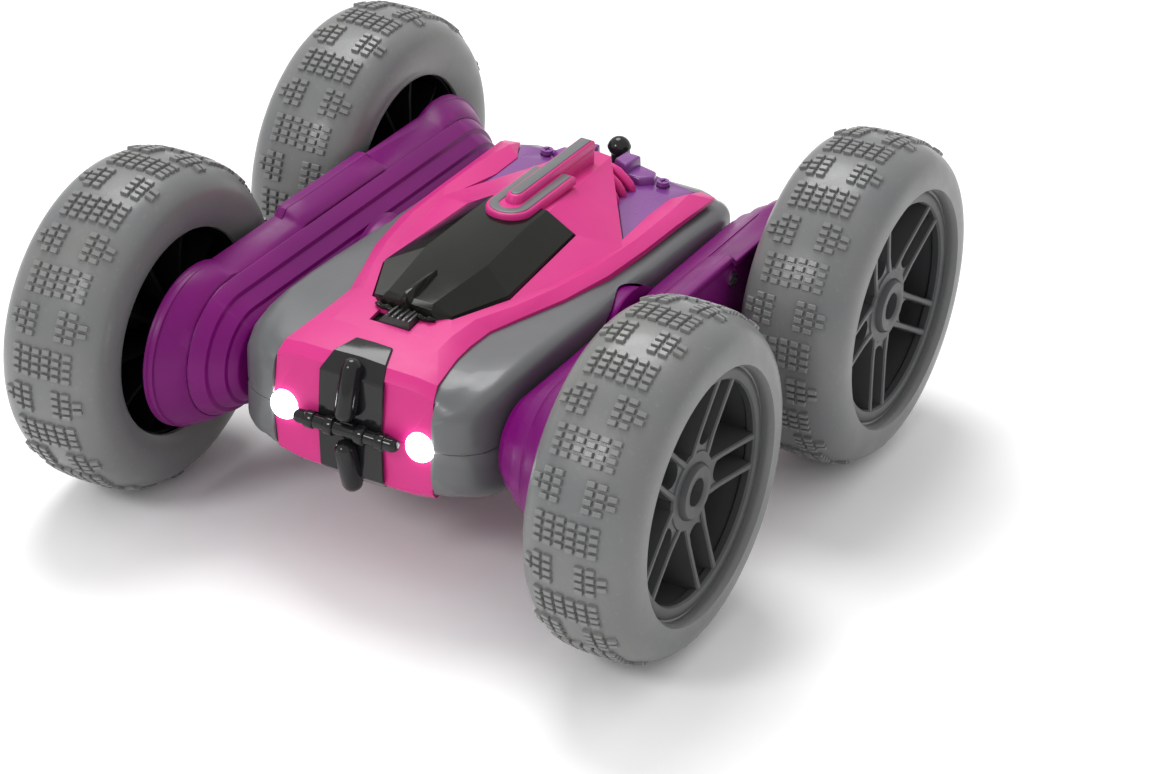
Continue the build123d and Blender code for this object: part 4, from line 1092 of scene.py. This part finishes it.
def front_guard_form():
    form = Form()
    bar_y = -57.3
    for up in (1, -1):
        post = ((2.3, 0.5), (2.5, 1.2), (3.0, 1.8), (3.8, 2.1), (8.0, 2.15), (12.3, 2.1), (13.2, 1.8),
                (13.8, 1.2), (14.1, 0.5))
        tube(form, [(0, -58.1 + 0.3 * (height - 2.3), height * up) for height, radius in post],
             [radius for height, radius in post], 28)
        form.solid([[(-1.6, -55.6, 4.4 * up), (1.6, -55.6, 4.4 * up), (1.6, -55.0, 10.6 * up),
                     (-1.6, -55.0, 10.6 * up)],
                    [(-1.2, -57.4, 5.0 * up), (1.2, -57.4, 5.0 * up), (1.2, -56.6, 9.8 * up),
                     (-1.2, -56.6, 9.8 * up)]])
    pill(form, (-11.6, bar_y, 0), (11.6, bar_y, 0), 1.4)
    block(form, (-1.7, 1.7), (-57.5, -55.4), (-1.7, 1.7), 0.2)
    for x, radius in ((-7.8, 1.75), (7.8, 1.75), (-3.4, 1.9), (3.4, 1.9)):
        form.solid([across_ring(x + offset, radius - drop, bar_y, 24)
                    for offset, drop in ((-1.1, 0.4), (-0.8, 0.0), (0.8, 0.0), (1.1, 0.4))])
    form.outward()
    return form


def rear_guard_form():
    form = Form()
    plate = [(-6.5, -6.6), (-4.6, -8.4), (4.6, -8.4), (6.5, -6.6), (6.5, 6.6), (4.6, 8.4), (-4.6, 8.4),
             (-6.5, 6.6)]
    form.solid([[(x, y, height) for x, height in plate] for y in (48.7, 49.5)])
    column_y = 48.1
    pill(form, (0, column_y, -17.0), (0, column_y, 17.0), 2.0)
    for up in (1, -1):
        pill(form, (0, column_y - 0.7, 13.9 * up), (0, column_y - 0.7, 18.3 * up), 2.5)
    pill(form, (-11.6, column_y, 0), (11.6, column_y, 0), 1.5)
    block(form, (-2.0, 2.0), (46.0, 48.6), (-4.0, 4.0), 0.2)
    form.outward()
    return form


shield = to_object(placed(shield_form()), "shield")
thicken(shield, 0.7)
soften(shield, 0.25, angle=12)
guard = to_object(placed(front_guard_form()), "guard")
soften(guard, 0.15, angle=40)
dress(joined("front_bumper_skin", [shield, guard]), "chassis", ["front_bumper"], [GLOSS_BLACK])
rear_guard = to_object(placed(rear_guard_form()), "rear_bumper_skin")
soften(rear_guard, 0.15, angle=40)
dress(rear_guard, "chassis", ["rear_bumper"], [GLOSS_BLACK])


# ---- headlights
def lens_form():
    form = Form()
    rings = []
    for y, radius in ((-52.5, 2.9), (-55.2, 2.95), (-55.7, 2.9), (-56.3, 2.5), (-56.7, 1.7), (-56.9, 0.8),
                      (-56.95, 0.25)):
        rings.append([(LAMP_X + across, y, up) for across, up in circle(radius, 36)])
    form.solid(rings)
    form.both_sides()
    form.outward()
    return form


piece(lens_form(), "headlight_lenses", "chassis", ["headlights"], LAMP, angle=40)


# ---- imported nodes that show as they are
NODE_PAINTS = {
    "circuit_board": BOARD_GREEN, "battery_cell": CELL_GREEN, "body_screws": DECK_PURPLE,
    "power_switch_body": SWITCH_BLACK, "power_switch_knob": SWITCH_BLACK,
}
for side_name in SIDES:
    NODE_PAINTS[f"{side_name}_motor"] = MOTOR_CAN
    NODE_PAINTS[f"{side_name}_motor_pinion"] = GEAR_WHITE
    NODE_PAINTS[f"{side_name}_axle_bushes"] = BUSH_BLACK
    NODE_PAINTS[f"{side_name}_arm_screws"] = STEEL
    for end_name in ENDS:
        corner = f"{end_name}_{side_name}"
        NODE_PAINTS[f"{corner}_axle"] = STEEL
        for gear in ("wheel_gear", "compound_gear", "idler_gear"):
            NODE_PAINTS[f"{corner}_{gear}"] = GEAR_WHITE
for node, paint in NODE_PAINTS.items():
    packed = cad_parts[node]
    packed.data.materials.clear()
    packed.data.materials.append(paint)


# ---- floor, light and camera
floor_paint = plastic("floor", (0.97, 0.97, 0.97), (0.96, 0.96, 0.96), 0.7, wear=0.0)
floor_half = 6.0
floor_form = bmesh.new()
corners = [(-floor_half, -floor_half), (floor_half, -floor_half), (floor_half, floor_half),
           (-floor_half, floor_half)]
floor_form.faces.new([floor_form.verts.new((x, y, 0.0)) for x, y in corners])
floor = to_object(floor_form, "floor")
floor.data.materials.append(floor_paint)

world = bpy.data.worlds.new("studio")
scene.world = world
world.use_nodes = True
world.node_tree.nodes["Background"].inputs["Color"].default_value = (1, 1, 1, 1)
world.node_tree.nodes["Background"].inputs["Strength"].default_value = 0.85
scene.view_settings.view_transform = "Standard"


def soft_light(name, place, size, power):
    data = bpy.data.lights.new(name, "AREA")
    data.shape = "DISK"
    data.size = size
    data.energy = power
    lamp = bpy.data.objects.new(name, data)
    lamp.location = place
    aim = Vector((0, 0, MID_Z * MM)) - Vector(place)
    lamp.rotation_euler = aim.to_track_quat("-Z", "Y").to_euler()
    scene.collection.objects.link(lamp)


soft_light("key", (-0.35, -0.9, 0.75), 0.3, 3.8)
soft_light("top", (-0.35, 0.35, 1.0), 0.6, 7.2)

CAMERA_PLACE = (0.30043, -0.52108, 0.36073)
AZIMUTH, ELEVATION, ROLL = 28.49, 29.82, 1.89
LENS = 107.1

camera_data = bpy.data.cameras.new("camera")
camera_data.lens = LENS
camera_data.sensor_width = 36.0
camera_data.clip_start = 0.01
camera = bpy.data.objects.new("camera", camera_data)
turn = Matrix.Rotation(math.radians(AZIMUTH), 4, "Z")
tilt = Matrix.Rotation(math.radians(90 - ELEVATION), 4, "X")
lean = Matrix.Rotation(math.radians(ROLL), 4, "Z")
camera.matrix_world = Matrix.Translation(CAMERA_PLACE) @ turn @ tilt @ lean
scene.collection.objects.link(camera)
scene.camera = camera
